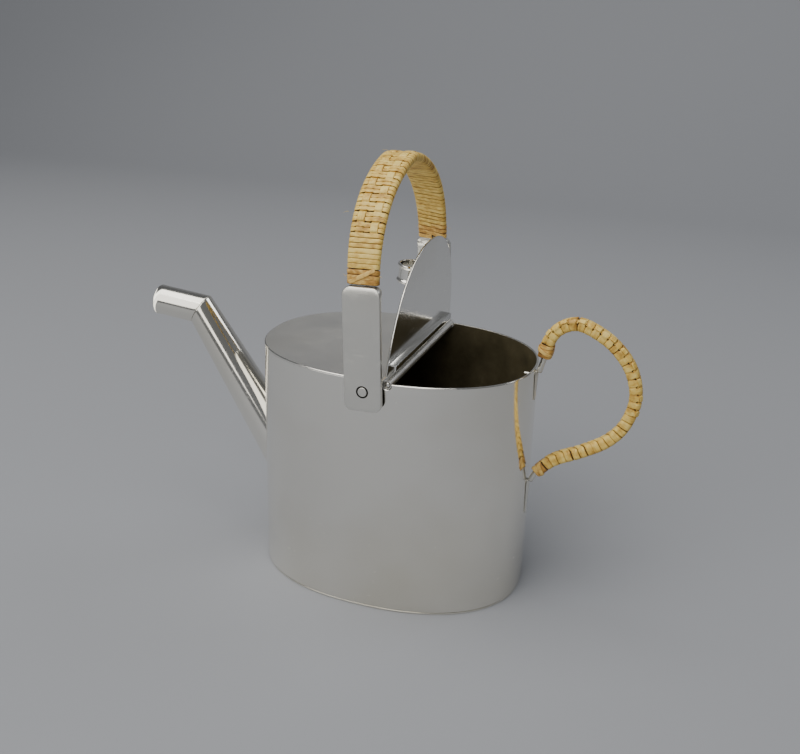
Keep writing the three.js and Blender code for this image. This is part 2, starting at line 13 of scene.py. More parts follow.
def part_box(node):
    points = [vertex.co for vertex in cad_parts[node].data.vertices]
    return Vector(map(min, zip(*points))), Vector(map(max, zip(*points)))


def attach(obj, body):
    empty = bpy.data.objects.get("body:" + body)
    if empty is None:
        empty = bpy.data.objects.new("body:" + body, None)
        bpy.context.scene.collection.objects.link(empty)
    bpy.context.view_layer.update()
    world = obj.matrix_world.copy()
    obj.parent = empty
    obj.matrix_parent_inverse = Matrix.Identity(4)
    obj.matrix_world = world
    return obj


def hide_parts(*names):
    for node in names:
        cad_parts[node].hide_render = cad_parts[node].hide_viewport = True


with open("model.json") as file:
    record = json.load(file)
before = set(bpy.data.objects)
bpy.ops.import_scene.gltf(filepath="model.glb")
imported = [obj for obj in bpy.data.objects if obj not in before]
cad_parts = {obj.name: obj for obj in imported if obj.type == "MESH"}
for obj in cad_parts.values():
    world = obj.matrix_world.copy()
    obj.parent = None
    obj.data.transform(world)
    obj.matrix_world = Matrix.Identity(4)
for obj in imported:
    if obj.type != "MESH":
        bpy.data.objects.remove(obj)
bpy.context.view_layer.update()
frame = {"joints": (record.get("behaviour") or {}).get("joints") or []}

# ------------------------------------------------------------------------------------------------
# Studio: a pale grey sweep of paper for a floor, a soft lamp overhead, a broader one at the front
# left and a weak one behind, and a camera in front of the pot and a little above it.
MM = 0.001


def squares(rows, columns, around=False, along=False):
    """Corner numbers of the squares of a grid of points held row by row. around joins the last
    column to the first, and along joins the last row to the first."""
    row = np.arange(rows if along else rows - 1)[:, None]
    column = np.arange(columns if around else columns - 1)[None, :]
    next_row, next_column = (row + 1) % rows, (column + 1) % columns
    corners = (
        row * columns + column,
        row * columns + next_column,
        next_row * columns + next_column,
        next_row * columns + column,
    )
    return np.stack(np.broadcast_arrays(*corners), -1).reshape(-1, 4)


def make(name, points, faces, *materials):
    """An object whose mesh has these points, in millimetres, and these lists of squares and
    triangles, smoothly shaded."""
    mesh = bpy.data.meshes.new(name)
    corners = [row for group in faces for row in group.tolist()]
    mesh.from_pydata((np.asarray(points) * MM).tolist(), [], corners)
    mesh.shade_smooth()
    for material in materials:
        mesh.materials.append(material)
    piece = bpy.data.objects.new(name, mesh)
    bpy.context.scene.collection.objects.link(piece)
    return piece


def socket_of(tree, value, socket):
    """Gives a socket a constant, or joins it to another node's output."""
    if isinstance(value, bpy.types.NodeSocket):
        tree.links.new(value, socket)
    else:
        socket.default_value = value


def node(tree, kind, inputs=None, **settings):
    """A shader node with its settings and inputs, by name or number; returns its outputs."""
    made = tree.nodes.new("ShaderNode" + kind)
    for key, value in settings.items():
        setattr(made, key, value)
    for key, value in (inputs or {}).items():
        socket_of(tree, value, made.inputs[key])
    return made.outputs


def shaded(name, **shader):
    """A new material, its tree and its Principled shader, with constants set on the shader."""
    material = bpy.data.materials.new(name)
    material.use_nodes = True
    tree = material.node_tree
    principled = next(n for n in tree.nodes if n.type == "BSDF_PRINCIPLED")
    for key, value in shader.items():
        principled.inputs[key.replace("_", " ")].default_value = value
    return material, tree, principled.inputs


def blend_stops(tree, factor, *stops):
    """A colour ramp through (place, grey or colour) stops."""
    made = tree.nodes.new("ShaderNodeValToRGB")
    tree.links.new(factor, made.inputs["Fac"])
    elements = made.color_ramp.elements
    for i, (place, colour) in enumerate(stops):
        element = elements[i] if i < 2 else elements.new(place)
        element.position = place
        rgb = (colour,) * 3 if isinstance(colour, (int, float)) else colour
        element.color = (*rgb, 1)
    return made.outputs["Color"]


paper, tree, shader = shaded("paper", Roughness=0.9)
grain = node(tree, "TexNoise", {"Scale": 3.0, "Detail": 2.0})["Fac"]
tint = blend_stops(tree, grain, (0.3, (0.31, 0.32, 0.345)), (0.7, (0.34, 0.35, 0.375)))
tree.links.new(tint, shader["Base Color"])

sweep_front, sweep_back, sweep_radius, sweep_top, sweep_half = -2600, 900, 700, 2600, 2600
bend = np.linspace(0, math.pi / 2, 24)
curve = np.stack([sweep_back + sweep_radius * np.sin(bend), sweep_radius * (1 - np.cos(bend))], 1)
sweep_line = np.vstack([[sweep_front, 0], curve, [sweep_back + sweep_radius, sweep_top]])
sweep_points = np.stack(
    [np.insert(sweep_line, 0, x, axis=1) for x in (-sweep_half, sweep_half)]
)
sweep = make("paper_sweep", sweep_points.reshape(-1, 3), [squares(2, len(sweep_line))], paper)


def soft_lamp(name, place, aim, width, height, power, colour):
    """A rectangular lamp in millimetres that faces a point."""
    lamp = bpy.data.lights.new(name, "AREA")
    lamp.shape = "RECTANGLE"
    lamp.size, lamp.size_y = width * MM, height * MM
    lamp.energy, lamp.color = power, colour
    lit = bpy.data.objects.new(name, lamp)
    lit.visible_camera = False
    away = (np.array(place, float) - np.array(aim, float)) * MM
    lit.matrix_world = Matrix.Translation([v * MM for v in place]) @ (
        Vector(away).to_track_quat("Z", "Y").to_matrix().to_4x4()
    )
    bpy.context.scene.collection.objects.link(lit)


soft_lamp("lamp_over", (-300, -220, 1400), (0, 0, 0), 1400, 1100, 14.0, (1.0, 0.985, 0.95))
soft_lamp("lamp_front", (-500, -1500, 1150), (0, 0, 150), 2400, 1700, 26.0, (1.0, 0.98, 0.94))
soft_lamp("lamp_back", (900, 800, 1100), (0, 0, 80), 600, 500, 3.0, (0.95, 0.97, 1.0))

world = bpy.data.worlds.new("room")
bpy.context.scene.world = world
world.use_nodes = True
background = next(n for n in world.node_tree.nodes if n.type == "BACKGROUND")
background.inputs["Color"].default_value = (0.92, 0.95, 1.0, 1)
background.inputs["Strength"].default_value = 0.16

camera_place = (146.557, -428.379, 275.330)
camera_turn, camera_dip, camera_roll = 0.3290, 0.3717, -0.0314
lens, sensor = 45.84, 36.0


def camera_frame():
    """The camera's right, up and back directions as columns: turned about +Z, tipped down, rolled."""
    across = np.array([math.cos(camera_turn), math.sin(camera_turn), 0])
    level = np.array([-math.sin(camera_turn), math.cos(camera_turn), 0])
    ahead = level * math.cos(camera_dip) - np.array([0, 0, math.sin(camera_dip)])
    down = np.cross(ahead, across)
    right = math.cos(camera_roll) * across + math.sin(camera_roll) * down
    low = -math.sin(camera_roll) * across + math.cos(camera_roll) * down
    return np.stack([right, -low, -ahead], 1)


camera = bpy.data.objects.new("camera", bpy.data.cameras.new("camera"))
camera.data.lens, camera.data.sensor_width, camera.data.clip_start = lens, sensor, 0.01
camera.matrix_world = Matrix.Translation([v * MM for v in camera_place]) @ (
    Matrix(camera_frame().tolist()).to_4x4()
)
bpy.context.scene.collection.objects.link(camera)
bpy.context.scene.camera = camera

# ------------------------------------------------------------------------------------------------
# Pot: one sheet of silver bent to an oval and seamed, polished outside and black with tea inside,
# soldered to a flat base. The wall is notched at the top on both sides for the ends of the hinge,
# and drilled inside the spout's foot as a strainer.


def reckon(tree, operation, *values):
    """The result of one Math node on these values."""
    return node(tree, "Math", dict(enumerate(values)), operation=operation)[0]


def rescale(tree, value, low, high, start=0.0, end=1.0):
    """A value carried from the range low to high over to the range start to end, and held there."""
    limits = {"Value": value, "From Min": low, "From Max": high, "To Min": start, "To Max": end}
    return node(tree, "MapRange", limits)["Result"]


def noise(tree, place, scale, detail, rough=0.5):
    """Soft noise from 0 to 1 at a place."""
    settings = {"Vector": place, "Scale": scale, "Detail": detail, "Roughness": rough}
    return node(tree, "TexNoise", settings)["Fac"]


def relief(tree, height, strength, distance, under=None):
    """A normal bent by a height, and laid over another normal if there is one."""
    settings = {"Height": height, "Strength": strength, "Distance": distance}
    if under is not None:
        settings["Normal"] = under
    return node(tree, "Bump", settings)["Normal"]


def silver(name, dull, fine, stain=(0.79, 0.755, 0.655), bright=(0.90, 0.88, 0.82), ripple=0.5):
    """Polished silver. dull is its least and greatest roughness, which wander with handling; fine
    is the strength of the hairline scratches, crossing noises drawn out two ways; the tint drifts
    from bright to a warm stain; ripple is the depth of the hammer's slow waves."""
    material, tree, shader = shaded(name, Metallic=1.0)
    place = node(tree, "TexCoord")["Object"]
    tint = blend_stops(tree, noise(tree, place, 11.0, 3.0), (0.42, bright), (0.72, stain))
    tree.links.new(tint, shader["Base Color"])
    lines = []
    for angle, stretch in ((0.5, (90, 1600, 500)), (2.2, (1500, 110, 420)), (1.1, (260, 240, 2200))):
        lie = {"Vector": place, "Rotation": (angle * 0.7, angle, angle * 1.3), "Scale": stretch}
        hair = noise(tree, node(tree, "Mapping", lie)["Vector"], 1.0, 2.0)
        lines.append(reckon(tree, "POWER", hair, 9.0))
    scratches = reckon(tree, "ADD", reckon(tree, "ADD", lines[0], lines[1]), lines[2])
    rough = rescale(tree, noise(tree, place, 38.0, 6.0), 0.3, 0.7, *dull)
    tree.links.new(reckon(tree, "MULTIPLY_ADD", scratches, fine, rough), shader["Roughness"])
    waves = relief(tree, noise(tree, place, 24.0, 1.0), ripple, 0.00008)
    tree.links.new(relief(tree, scratches, 0.25, 0.00002, waves), shader["Normal"])
    return material


polished = silver("polished_silver", (0.07, 0.13), 1.2)

tea_black, tree, shader = shaded("tea_black_silver", Metallic=0.35)
film = noise(tree, node(tree, "TexCoord")["Object"], 55.0, 8.0, 0.65)
film_colour = blend_stops(
    tree, film, (0.32, (0.075, 0.064, 0.036)), (0.6, (0.15, 0.125, 0.07)), (0.82, (0.30, 0.25, 0.15))
)
tree.links.new(film_colour, shader["Base Color"])
tree.links.new(blend_stops(tree, film, (0.3, 0.28), (0.8, 0.55)), shader["Roughness"])
tree.links.new(relief(tree, film, 0.4, 0.0001), shader["Normal"])


def box_of(name):
    """A node's lowest and highest corners at rest, in millimetres."""
    return [np.array(corner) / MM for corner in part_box(name)]


wall_low, wall_high = box_of("body_wall")
cover_low, cover_high = box_of("front_cover")
half_length, half_width = wall_high[0], wall_high[1]
squareness = 2.26
wall_sheet, rim_round = 1.2, 0.55
pivot_of = {joint["name"]: np.array(joint["pos_m"]) / MM for joint in frame["joints"]}
hinge_x, _, hinge_z = pivot_of["lid_hinge"]
notch_radius = 2.1


def oval(inset, angle):
    """Points of the pot's outline drawn in by an inset: the superellipse at a turn angle."""
    c, s = np.cos(angle), np.sin(angle)
    x = (half_length - inset) * np.sign(c) * np.abs(c) ** (2 / squareness)
    y = (half_width - inset) * np.sign(s) * np.abs(s) ** (2 / squareness)
    return x, y


def off_middle(x, y, inset=0.0):
    """How far out points stand by the superellipse's own measure: 1 on the pot's outline drawn in by
    an inset, and less inside it."""
    length, width = half_length - inset, half_width - inset
    return np.abs(x / length) ** squareness + np.abs(y / width) ** squareness


def full_turn(count):
    """Angles that share out one full turn."""
    return np.linspace(0, 2 * math.pi, count, endpoint=False)


def rounded(corners, radii, steps=6, closed=False):
    """A line through 2-D corners in which each corner is cut back by its radius and becomes the
    quadratic curve between the cuts that leans on the corner."""
    corners = np.asarray(corners, float)
    radii = np.broadcast_to(radii, len(corners))

    def cut(neighbour):
        step = neighbour - corners
        length = np.linalg.norm(step, axis=1)
        return corners + step * (np.minimum(radii, length / 2) / length)[:, None]

    t = np.linspace(0, 1, steps + 1)[None, :, None]
    start, end = cut(np.roll(corners, 1, 0))[:, None], cut(np.roll(corners, -1, 0))[:, None]
    line = (1 - t) ** 2 * start + 2 * t * (1 - t) * corners[:, None] + t**2 * end
    if closed:
        return line.reshape(-1, 2)
    return np.concatenate([corners[:1], line[1:-1].reshape(-1, 2), corners[-1:]])


def outward(points, faces):
    """The faces turned to point out: the sum over their triangles of a . (b x c), which is six
    times the volume inside, has to be positive."""
    total = 0.0
    for group in faces:
        for k in range(1, group.shape[1] - 1):
            a, b, c = (points[group[:, i]] for i in (0, k, k + 1))
            total += np.einsum("ij,ij->", a - points[0], np.cross(b - points[0], c - points[0]))
    return points, faces if total > 0 else [group[:, ::-1] for group in faces]


def skin(loops, closed=False, ends=None):
    """A skin over a stack of closed loops of points. An open stack is shut by a fan at each end,
    about the loop's middle or the given point; a closed stack joins its last loop to its first."""
    count, size, _ = loops.shape
    points = loops.reshape(-1, 3)
    faces = [squares(count, size, around=True, along=closed)]
    if not closed:
        middles = ends if ends is not None else (loops[0].mean(0), loops[-1].mean(0))
        points = np.vstack([points, *middles])
        here, there = np.arange(size), (np.arange(size) + 1) % size
        last = (count - 1) * size
        hub = np.full(size, count * size)
        faces.append(np.stack([hub, there, here], 1))
        faces.append(np.stack([hub + 1, last + here, last + there], 1))
    return outward(points, faces)


def together(*shells):
    """Several skins as one list of points and faces."""
    starts = np.cumsum([0] + [len(points) for points, _ in shells[:-1]])
    faces = [group + start for (_, groups), start in zip(shells, starts) for group in groups]
    return np.concatenate([points for points, _ in shells]), faces


def oval_loops(profile, angle):
    """One loop round the pot's outline for each (inset, height) of a profile."""
    profile = np.asarray(profile, float)
    x, y = oval(profile[:, :1], angle[None, :])
    return np.stack([x, y, np.broadcast_to(profile[:, 1:], x.shape)], -1)


def read(items, key):
    """One vector of each of a mesh's faces or points, as rows of three."""
    values = np.zeros(len(items) * 3)
    items.foreach_get(key, values)
    return values.reshape(-1, 3)


round_points, hinge_points, beside_hinge = 1080, 90, 3
hinge_places = np.linspace(hinge_x - beside_hinge, hinge_x + beside_hinge, hinge_points) / half_length
near_hinge = np.arccos(np.clip(hinge_places, -1, 1) ** (squareness / 2))
turn = np.unique(np.concatenate([full_turn(round_points), near_hinge, 2 * math.pi - near_hinge]))
bottom, top = wall_low[2], wall_high[2] + 0.1
corner_points, rows_up = 7, 11
rim_cut, rim_zone, solder_film = 0.5, 5, 0.02
wall_edges = rounded(
    [(0, bottom), (0, top), (wall_sheet, top), (wall_sheet, bottom)],
    [0.15, rim_round, rim_round, 0.15],
    corner_points - 1,
    closed=True,
)
rise = np.linspace(bottom + 4, top - 6, rows_up)
outer_rows = np.stack([np.zeros(rows_up), rise], 1)
inner_rows = np.stack([np.full(rows_up, wall_sheet), rise[::-1]], 1)
foot_outside, rim_edges, foot_inside = np.split(wall_edges, [corner_points, 3 * corner_points])
wall_profile = np.concatenate([foot_outside, outer_rows, rim_edges, inner_rows, foot_inside])
wall = oval_loops(wall_profile, turn)

# Under the cover the wall's rim isn't rounded: it goes straight up to the solder.
under_cover = wall[0, :, 0] < hinge_x - notch_radius - 0.5
rim_rows = np.arange(corner_points) + corner_points + rows_up
straight_up = np.linspace(top - rim_cut, cover_low[2] + solder_film, corner_points)
wall[np.ix_(rim_rows, under_cover, [0, 1])] = wall[corner_points, under_cover, :2]
wall[np.ix_(rim_rows, under_cover, [2])] = straight_up[:, None, None]

# The notches are round-bottomed: within their radius of the hinge the rim drops to the circle.
reach = np.abs(wall[..., 0] - hinge_x)
notch_floor = hinge_z - np.sqrt(np.clip(notch_radius**2 - reach**2, 0, None))
drop = np.where(reach < notch_radius, top - notch_floor, 0)
wall[..., 2] -= np.where(wall[..., 2] > top - rim_zone, drop, 0)
body = make("pot_wall", *skin(wall, closed=True), polished, tea_black)
row_is_inner = wall_profile[:, 0] > wall_sheet - 0.02
stained = row_is_inner & np.roll(row_is_inner, -1)
body.data.polygons.foreach_set("material_index", np.repeat(stained.astype(np.int32), len(turn)))
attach(body, "pot")
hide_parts("body_wall")

solder_step, foot_inset, stain_inset, floor_inset = 0.5, 0.18, 0.85, 12
base_top = box_of("base_plate")[1][2]
base_edge = [
    (0.7, 0), (foot_inset, 0.02), (foot_inset, base_top), (solder_step, base_top),
    (solder_step, bottom + solder_film), (wall_sheet + 0.9, bottom),
    (wall_sheet + 1.6, base_top - solder_film),
]
base_under, base_over = [(floor_inset, 0), (1.2, 0)], [(floor_inset, base_top - solder_film)]
base_profile = np.concatenate([base_under, rounded(base_edge, 0.22, 4), base_over])
base = make("pot_base", *skin(oval_loops(base_profile, turn[::2])), polished, tea_black)
middles = read(base.data.polygons, "center") / MM
inside = off_middle(middles[:, 0], middles[:, 1]) < 1 - squareness * stain_inset / half_length
inside &= middles[:, 2] > base_top * 0.7
base.data.polygons.foreach_set("material_index", inside.astype(np.int32))
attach(base, "pot")
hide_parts("base_plate")

# ------------------------------------------------------------------------------------------------
# Strainer: rows of holes drilled through the wall inside the spout's foot, in staggered rows. The
# drill's cylinders are cut out of the wall, and their sides show bare silver.
strainer_radius, strainer_pitch = 1.2, 4.4
spout_rise, spout_length, root_sunk = math.radians(56.75), 79.8, 3.3
spout_root = np.array([root_sunk - half_length, 0, 52.1])
root_radius, elbow_radius, spout_sheet = 11.3, 7.4, 1.0


def turned(profile, count, centre=(0, 0, 0), axis="z"):
    """A skin turned about an axis through a centre. The profile is (radius, distance) and closes
    on the axis at both ends."""
    profile = np.asarray(profile, float)
    angle = full_turn(count)
    c, s = profile[:, :1] * np.cos(angle), profile[:, :1] * np.sin(angle)
    far = np.broadcast_to(profile[:, 1:], c.shape)
    order = {"x": (far, c, s), "y": (s, far, c), "z": (c, s, far)}[axis]
    return skin(np.stack(order, -1) + np.asarray(centre, float))


def drilled(piece, drills, material):
    """Cuts a set of drills out of a piece; the cut faces take a material."""
    drill = make("drill", *together(*drills), material)
    cutting = piece.modifiers.new("drilled", "BOOLEAN")
    cutting.operation, cutting.solver, cutting.object = "DIFFERENCE", "EXACT", drill
    cut = bpy.data.meshes.new_from_object(piece.evaluated_get(bpy.context.evaluated_depsgraph_get()))
    piece.modifiers.clear()
    piece.data = cut
    cut.name = piece.name
    bpy.data.objects.remove(drill)


strainer_middle = spout_root[2] + root_sunk * math.tan(spout_rise)
strainer_reach = root_radius - spout_sheet - 2 * strainer_radius
tall = 1 / math.cos(spout_rise)
row_pitch = strainer_pitch * math.sin(math.radians(60))
row_count = int(strainer_reach * tall / row_pitch)
drills = []
for row in range(-row_count, row_count + 1):
    for column in range(-2, 3):
        across, up = strainer_pitch * (column + 0.5 * (row % 2)), row * row_pitch
        if math.hypot(across, up / tall) <= strainer_reach:
            hole = (-half_length, across, strainer_middle + up)
            drills.append(turned([(strainer_radius, -4), (strainer_radius, 4)], 20, hole, "x"))
drilled(body, drills, polished)

# ------------------------------------------------------------------------------------------------
# Front cover: a flat plate soldered over the front half of the pot, cut straight along the hinge.
# Its edge is rounded over, its top has gone softly grey with wiping and shows crossing scratches.
worn = silver("worn_silver", (0.36, 0.42), 0.5, stain=(0.80, 0.775, 0.70), bright=(0.90, 0.885, 0.84))
cover_hub, cover_edge_points = -26.0, 900


def last_inside(low, high, is_outside):
    """The furthest place on each of many lines that is still inside, between one inside and one
    outside: forty halving steps."""
    for _ in range(40):
        middle = (low + high) / 2
        outside = is_outside(middle)
        low, high = np.where(outside, low, middle), np.where(outside, middle, high)
    return low


def cut_oval(inset, cut, hub, angle, sharpness):
    """The pot's outline drawn in by an inset and cut straight across at x = cut, as seen from a hub
    on the middle line: along each ray the nearer of oval and cut, blended by a power mean that
    rounds the two corners."""
    ray = np.stack([np.cos(angle), np.sin(angle)])
    to_oval = last_inside(
        np.zeros(len(angle)),
        np.full(len(angle), 2 * half_length),
        lambda far: off_middle(hub + far * ray[0], far * ray[1], inset) > 1,
    )
    to_cut = np.abs(cut - hub) - inset
    facing = np.clip(ray[0] * np.sign(cut - hub), 1e-6, None)
    far = (to_oval**-sharpness + (to_cut / facing) ** -sharpness) ** (-1 / sharpness)
    return hub + far * ray[0], far * ray[1]


def even_angles(inset, cut, hub, sharpness, count):
    """Angles about the hub that space the points of the cut outline evenly along it."""
    angle = np.linspace(0, 2 * math.pi, 6001)
    x, y = cut_oval(inset, cut, hub, angle, sharpness)
    run = np.concatenate([[0], np.cumsum(np.hypot(np.diff(x), np.diff(y)))])
    return np.interp(np.linspace(0, run[-1], count, endpoint=False), run, angle)


def cut_plate(profile, inset, cut, hub, sharpness):
    """A flat plate of the cut outline. The profile is (inset, height), from the middle of one face
    over the edge to the middle of the other."""
    angle = even_angles(inset, cut, hub, sharpness, cover_edge_points)
    loops = []
    for more, height in profile:
        x, y = cut_oval(inset + more, cut, hub, angle, sharpness)
        loops.append(np.stack([x, y, np.full(len(x), height)], 1))
    return skin(np.stack(loops), ends=[np.array([hub, 0, profile[end][1]]) for end in (0, -1)])


def edge_profile(low, high, round_low, round_high):
    """Half the section of a plate: flat faces up to the rounding of each edge."""
    flat = 3.0
    line = rounded([(flat, low), (0, low), (0, high), (flat, high)], [1, round_low, round_high, 1], 7)
    under, over = [(flat, low), (flat * 0.5, low)], [(flat * 0.5, high), (flat, high)]
    return np.concatenate([under, line[1:-1], over])


profile = edge_profile(cover_low[2] + solder_film, cover_high[2], 0.03, 1.0)
cover = cut_plate(profile, 0.0, cover_high[0], cover_hub, 90)
under = full_turn(720)
seam_out, seam_in, seam_top = 0.18, wall_sheet - 0.1, cover_low[2] + 0.1
seam_section = [
    (seam_out, top - rim_cut), (seam_out, seam_top), (seam_in, seam_top), (seam_in, top - rim_cut),
]
seam_loops = oval_loops(seam_section, under)
keep = oval(0, under)[0] < cover_high[0] - 0.4
first = int(np.argmax(keep & ~np.roll(keep, 1)))
order = np.roll(np.arange(len(under)), -first)[: int(keep.sum())]
solder = skin(seam_loops[:, order].transpose(1, 0, 2))
front = make("front_cover_plate", *together(cover, solder), worn, polished)
edges = np.abs(read(front.data.polygons, "normal")[:, 2]) < 0.985
front.data.polygons.foreach_set("material_index", edges.astype(np.int32))
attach(front, "pot")
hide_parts("front_cover")

# ------------------------------------------------------------------------------------------------
# Hinge: five short tubes on one pin. The first, middle and last are soldered to the cover and the
# other two to the lid, each by a narrow leaf. The pin's ends are filed to a low dome.
tube_radius, tube_bore, pin_radius = 1.95, 1.5, 1.12
hinge_axis = np.array([hinge_x, 0, hinge_z])
lid_open = math.radians(85.6)


def opened(points):
    """Turns points of the closed lid, measured from the hinge axis, to where the lid stands open."""
    c, s = math.cos(lid_open), math.sin(lid_open)
    x, y, z = points[..., 0], points[..., 1], points[..., 2]
    return np.stack([x * c - z * s, y, x * s + z * c], -1) + hinge_axis


def tube_with_leaf(low, high, side):
    """A hinge tube between two places across the pot, measured from the axis. Its outside is a
    circle with a leaf that leaves it level at the plate's height, on the given side."""
    leaf_low, leaf_high = cover_low[2] - hinge_z, cover_high[2] - hinge_z
    gap = tube_radius + 0.42
    start, end = math.asin(leaf_high / tube_radius), math.asin(leaf_low / tube_radius)
    sweep_round = np.linspace(math.pi - start, math.pi - end - 2 * math.pi, 60)
    circle = np.stack([-np.cos(sweep_round), np.sin(sweep_round)], 1) * tube_radius
    leaf = np.array([(gap, leaf_low), (gap, leaf_high)])
    outline = np.concatenate([circle, leaf])
    outline[:, 0] *= side
    size = len(outline)
    bore_angle = np.arctan2(outline[:, 1], outline[:, 0])
    bore = np.stack([np.cos(bore_angle), np.sin(bore_angle)], 1) * tube_bore
    shrink = np.array([0.985, 0.996, 1.0])
    rows = [(bore, low + 0.9), (bore, low + 0.1), (bore * 1.05, low)]
    rows += [(outline * s, low + d) for s, d in zip(shrink, (0, 0.04, 0.12))]
    rows += [(outline * s, high - d) for s, d in zip(shrink[::-1], (0.12, 0.04, 0))]
    rows += [(bore * 1.05, high), (bore, high - 0.1), (bore, high - 0.9)]
    loops = np.stack(
        [np.stack([line[:, 0], np.full(size, place), line[:, 1]], 1) for line, place in rows]
    )
    return skin(loops, closed=True)


# The tubes are drawn out a little towards each other, so that the joints between them look tight.
tube_names = ("hinge_knuckle_1", "lid_knuckle_2", "hinge_knuckle_3", "lid_knuckle_4", "hinge_knuckle_5")
tube_grown, end_trimmed = 0.07, 0.08
for number, name in enumerate(tube_names):
    low, high = (corner[1] for corner in box_of(name))
    fixed = name.startswith("hinge")
    start = low + (-tube_grown if number else end_trimmed)
    points, faces = tube_with_leaf(start, high + tube_grown, -1 if fixed else 1)
    points = points + hinge_axis if fixed else opened(points)
    tube = make("hinge_tube_" + str(number + 1), *outward(points, faces), worn)
    tube.data.set_sharp_from_angle(angle=math.radians(50))
    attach(tube, "pot" if fixed else "lid")
    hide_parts(name)

pin_half = box_of("hinge_pin")[1][1]
half_pin = [(0.3, 0.03), (0.6, 0.0), (0.85, -0.06), (1.04, -0.16), (pin_radius, -0.3)]
pin_profile = [(r, -pin_half - z) for r, z in half_pin] + [(r, pin_half + z) for r, z in half_pin[::-1]]
pin = make("hinge_wire", *turned(pin_profile, 48, hinge_axis, "y"), polished)
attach(pin, "pot")
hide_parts("hinge_pin")

# ------------------------------------------------------------------------------------------------
# Lid: the rear half of the top, a flat plate with a thin rounded edge and trimmed hinge corners.
# Its underside is a good mirror, faintly stained by steam.
lid_silver = silver("lid_silver", (0.10, 0.17), 1.5, stain=(0.70, 0.66, 0.56), bright=(0.84, 0.83, 0.79))
plate_low, plate_high = cover_low[2] - hinge_z, cover_high[2] - hinge_z
lid_hub, lid_gap, lid_inset = 34.0, tube_radius + 0.35, 0.4
profile = edge_profile(plate_low, plate_high, 0.3, 0.42)
lid_points, lid_faces = cut_plate(profile, lid_inset, hinge_x + lid_gap - lid_inset, lid_hub, 34)
lid_points = opened(lid_points - [hinge_x, 0, 0])
lid = make("lid_half", *outward(lid_points, lid_faces), lid_silver)
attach(lid, "lid")
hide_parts("lid_plate")

# ------------------------------------------------------------------------------------------------
# Stiffener: a strip of sheet folded to an angle and soldered under the lid beside the hinge, with
# one leg standing down from the lid and one turned back towards the hinge.
strip_from, strip_size, strip_sheet = 5.7, 2.7, 0.7
strip_top = plate_low - 0.02
far, near, low = strip_from + strip_size, strip_from, strip_top - strip_size - 0.28
angle_line = rounded(
    [(far, strip_top), (far - strip_sheet, strip_top), (far - strip_sheet, low + strip_sheet),
     (near, low + strip_sheet), (near, low), (far, low)],
    [0.05, 0.05, 0.35, 0.25, 0.25, 0.4],
    4,
    closed=True,
)
strip_box = [corner[1] for corner in box_of("lid_stiffener")]
stations = [(strip_box[0], 0.94), (strip_box[0] + 0.06, 1), (strip_box[1] - 0.06, 1), (strip_box[1], 0.94)]
elbow = np.array([far - strip_sheet / 2, low + strip_sheet / 2])
loops = np.stack(
    [
        np.stack([flat[:, 0], np.full(len(flat), y), flat[:, 1]], 1)
        for y, scale in stations
        for flat in [elbow + (angle_line - elbow) * scale]
    ]
)
ends = [np.array([elbow[0], y, elbow[1]]) for y in strip_box]
strip_points, strip_faces = skin(loops, ends=ends)
strip = make("lid_angle_strip", *outward(opened(strip_points), strip_faces), lid_silver)
strip.data.set_sharp_from_angle(angle=math.radians(40))
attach(strip, "lid")
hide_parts("lid_stiffener")

# ------------------------------------------------------------------------------------------------
# Finger ring: a short band standing on the lid, rolled over into a bead at each end and soldered
# along its foot.
ring_bore, ring_band, ring_rim, ring_length, ring_from = 5.7, 6.3, 7.0, 8.4, 32.8
bead = 1.5
ring_section = [
    (ring_bore, 0), (ring_rim, 0), (ring_rim, bead * 0.7), (ring_band, bead),
    (ring_band, ring_length - bead), (ring_rim, ring_length - bead * 0.7), (ring_rim, ring_length),
    (ring_bore, ring_length),
]
ring_line = rounded(ring_section, [0.3, 0.55, 0.4, 0.5, 0.5, 0.4, 0.55, 0.3], closed=True)
around = full_turn(120)
ring_height = plate_high + 0.1 + ring_rim
loops = np.stack(
    [
        np.stack(
            [np.full(len(around), ring_from + far), r * np.sin(around), ring_height - r * np.cos(around)], 1
        )
        for r, far in ring_line
    ]
)
ring_points, ring_faces = skin(loops, closed=True)
ring = make("finger_ring_band", *outward(opened(ring_points), ring_faces), polished)
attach(ring, "lid")
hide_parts("finger_ring")

# ------------------------------------------------------------------------------------------------
# Spout: a cone of sheet silver let on to the pot with a fillet of solder, and a short level tube
# joined to its top by a mitre.
tip_rise, tip_length = math.radians(5.3), 23.7
spout_points_round = 200
along = np.array([-math.cos(spout_rise), 0, math.sin(spout_rise)])
level = np.array([-math.cos(tip_rise), 0, math.sin(tip_rise)])
spout_elbow = spout_root + along * spout_length
taper = (root_radius - elbow_radius) / spout_length
mitre = (along + level) / np.linalg.norm(along + level)
spin = full_turn(spout_points_round)


def round_rays(axis):
    """Unit vectors round an axis that lies in the pot's middle plane."""
    across = np.array([0.0, 1, 0])
    return np.outer(np.cos(spin), np.cross(axis, across)) + np.outer(np.sin(spin), across)


def cone_loop(place, more):
    """A loop on the cone: place along its axis for each line, the radius grown by more."""
    radius = root_radius - taper * place + more
    return spout_root + along * place[:, None] + round_rays(along) * radius[:, None]


def to_wall(more):
    """How far along the cone's axis each of its lines leaves the pot's wall, with its radius grown
    by more."""

    def outside(place):
        point = cone_loop(place, more)
        return (off_middle(point[:, 0], point[:, 1]) > 1) & (point[:, 0] < 0)

    return last_inside(np.full(len(spin), -30.0), np.full(len(spin), 45.0), outside)


def to_mitre(radius, shrink, axis, start, plane_gap):
    """How far along an axis each line of a cone or tube meets the mitre's plane."""
    rays = round_rays(axis)
    reach = (start - spout_elbow) @ mitre + radius * (rays @ mitre) + plane_gap
    return -reach / (axis @ mitre - shrink * (rays @ mitre))


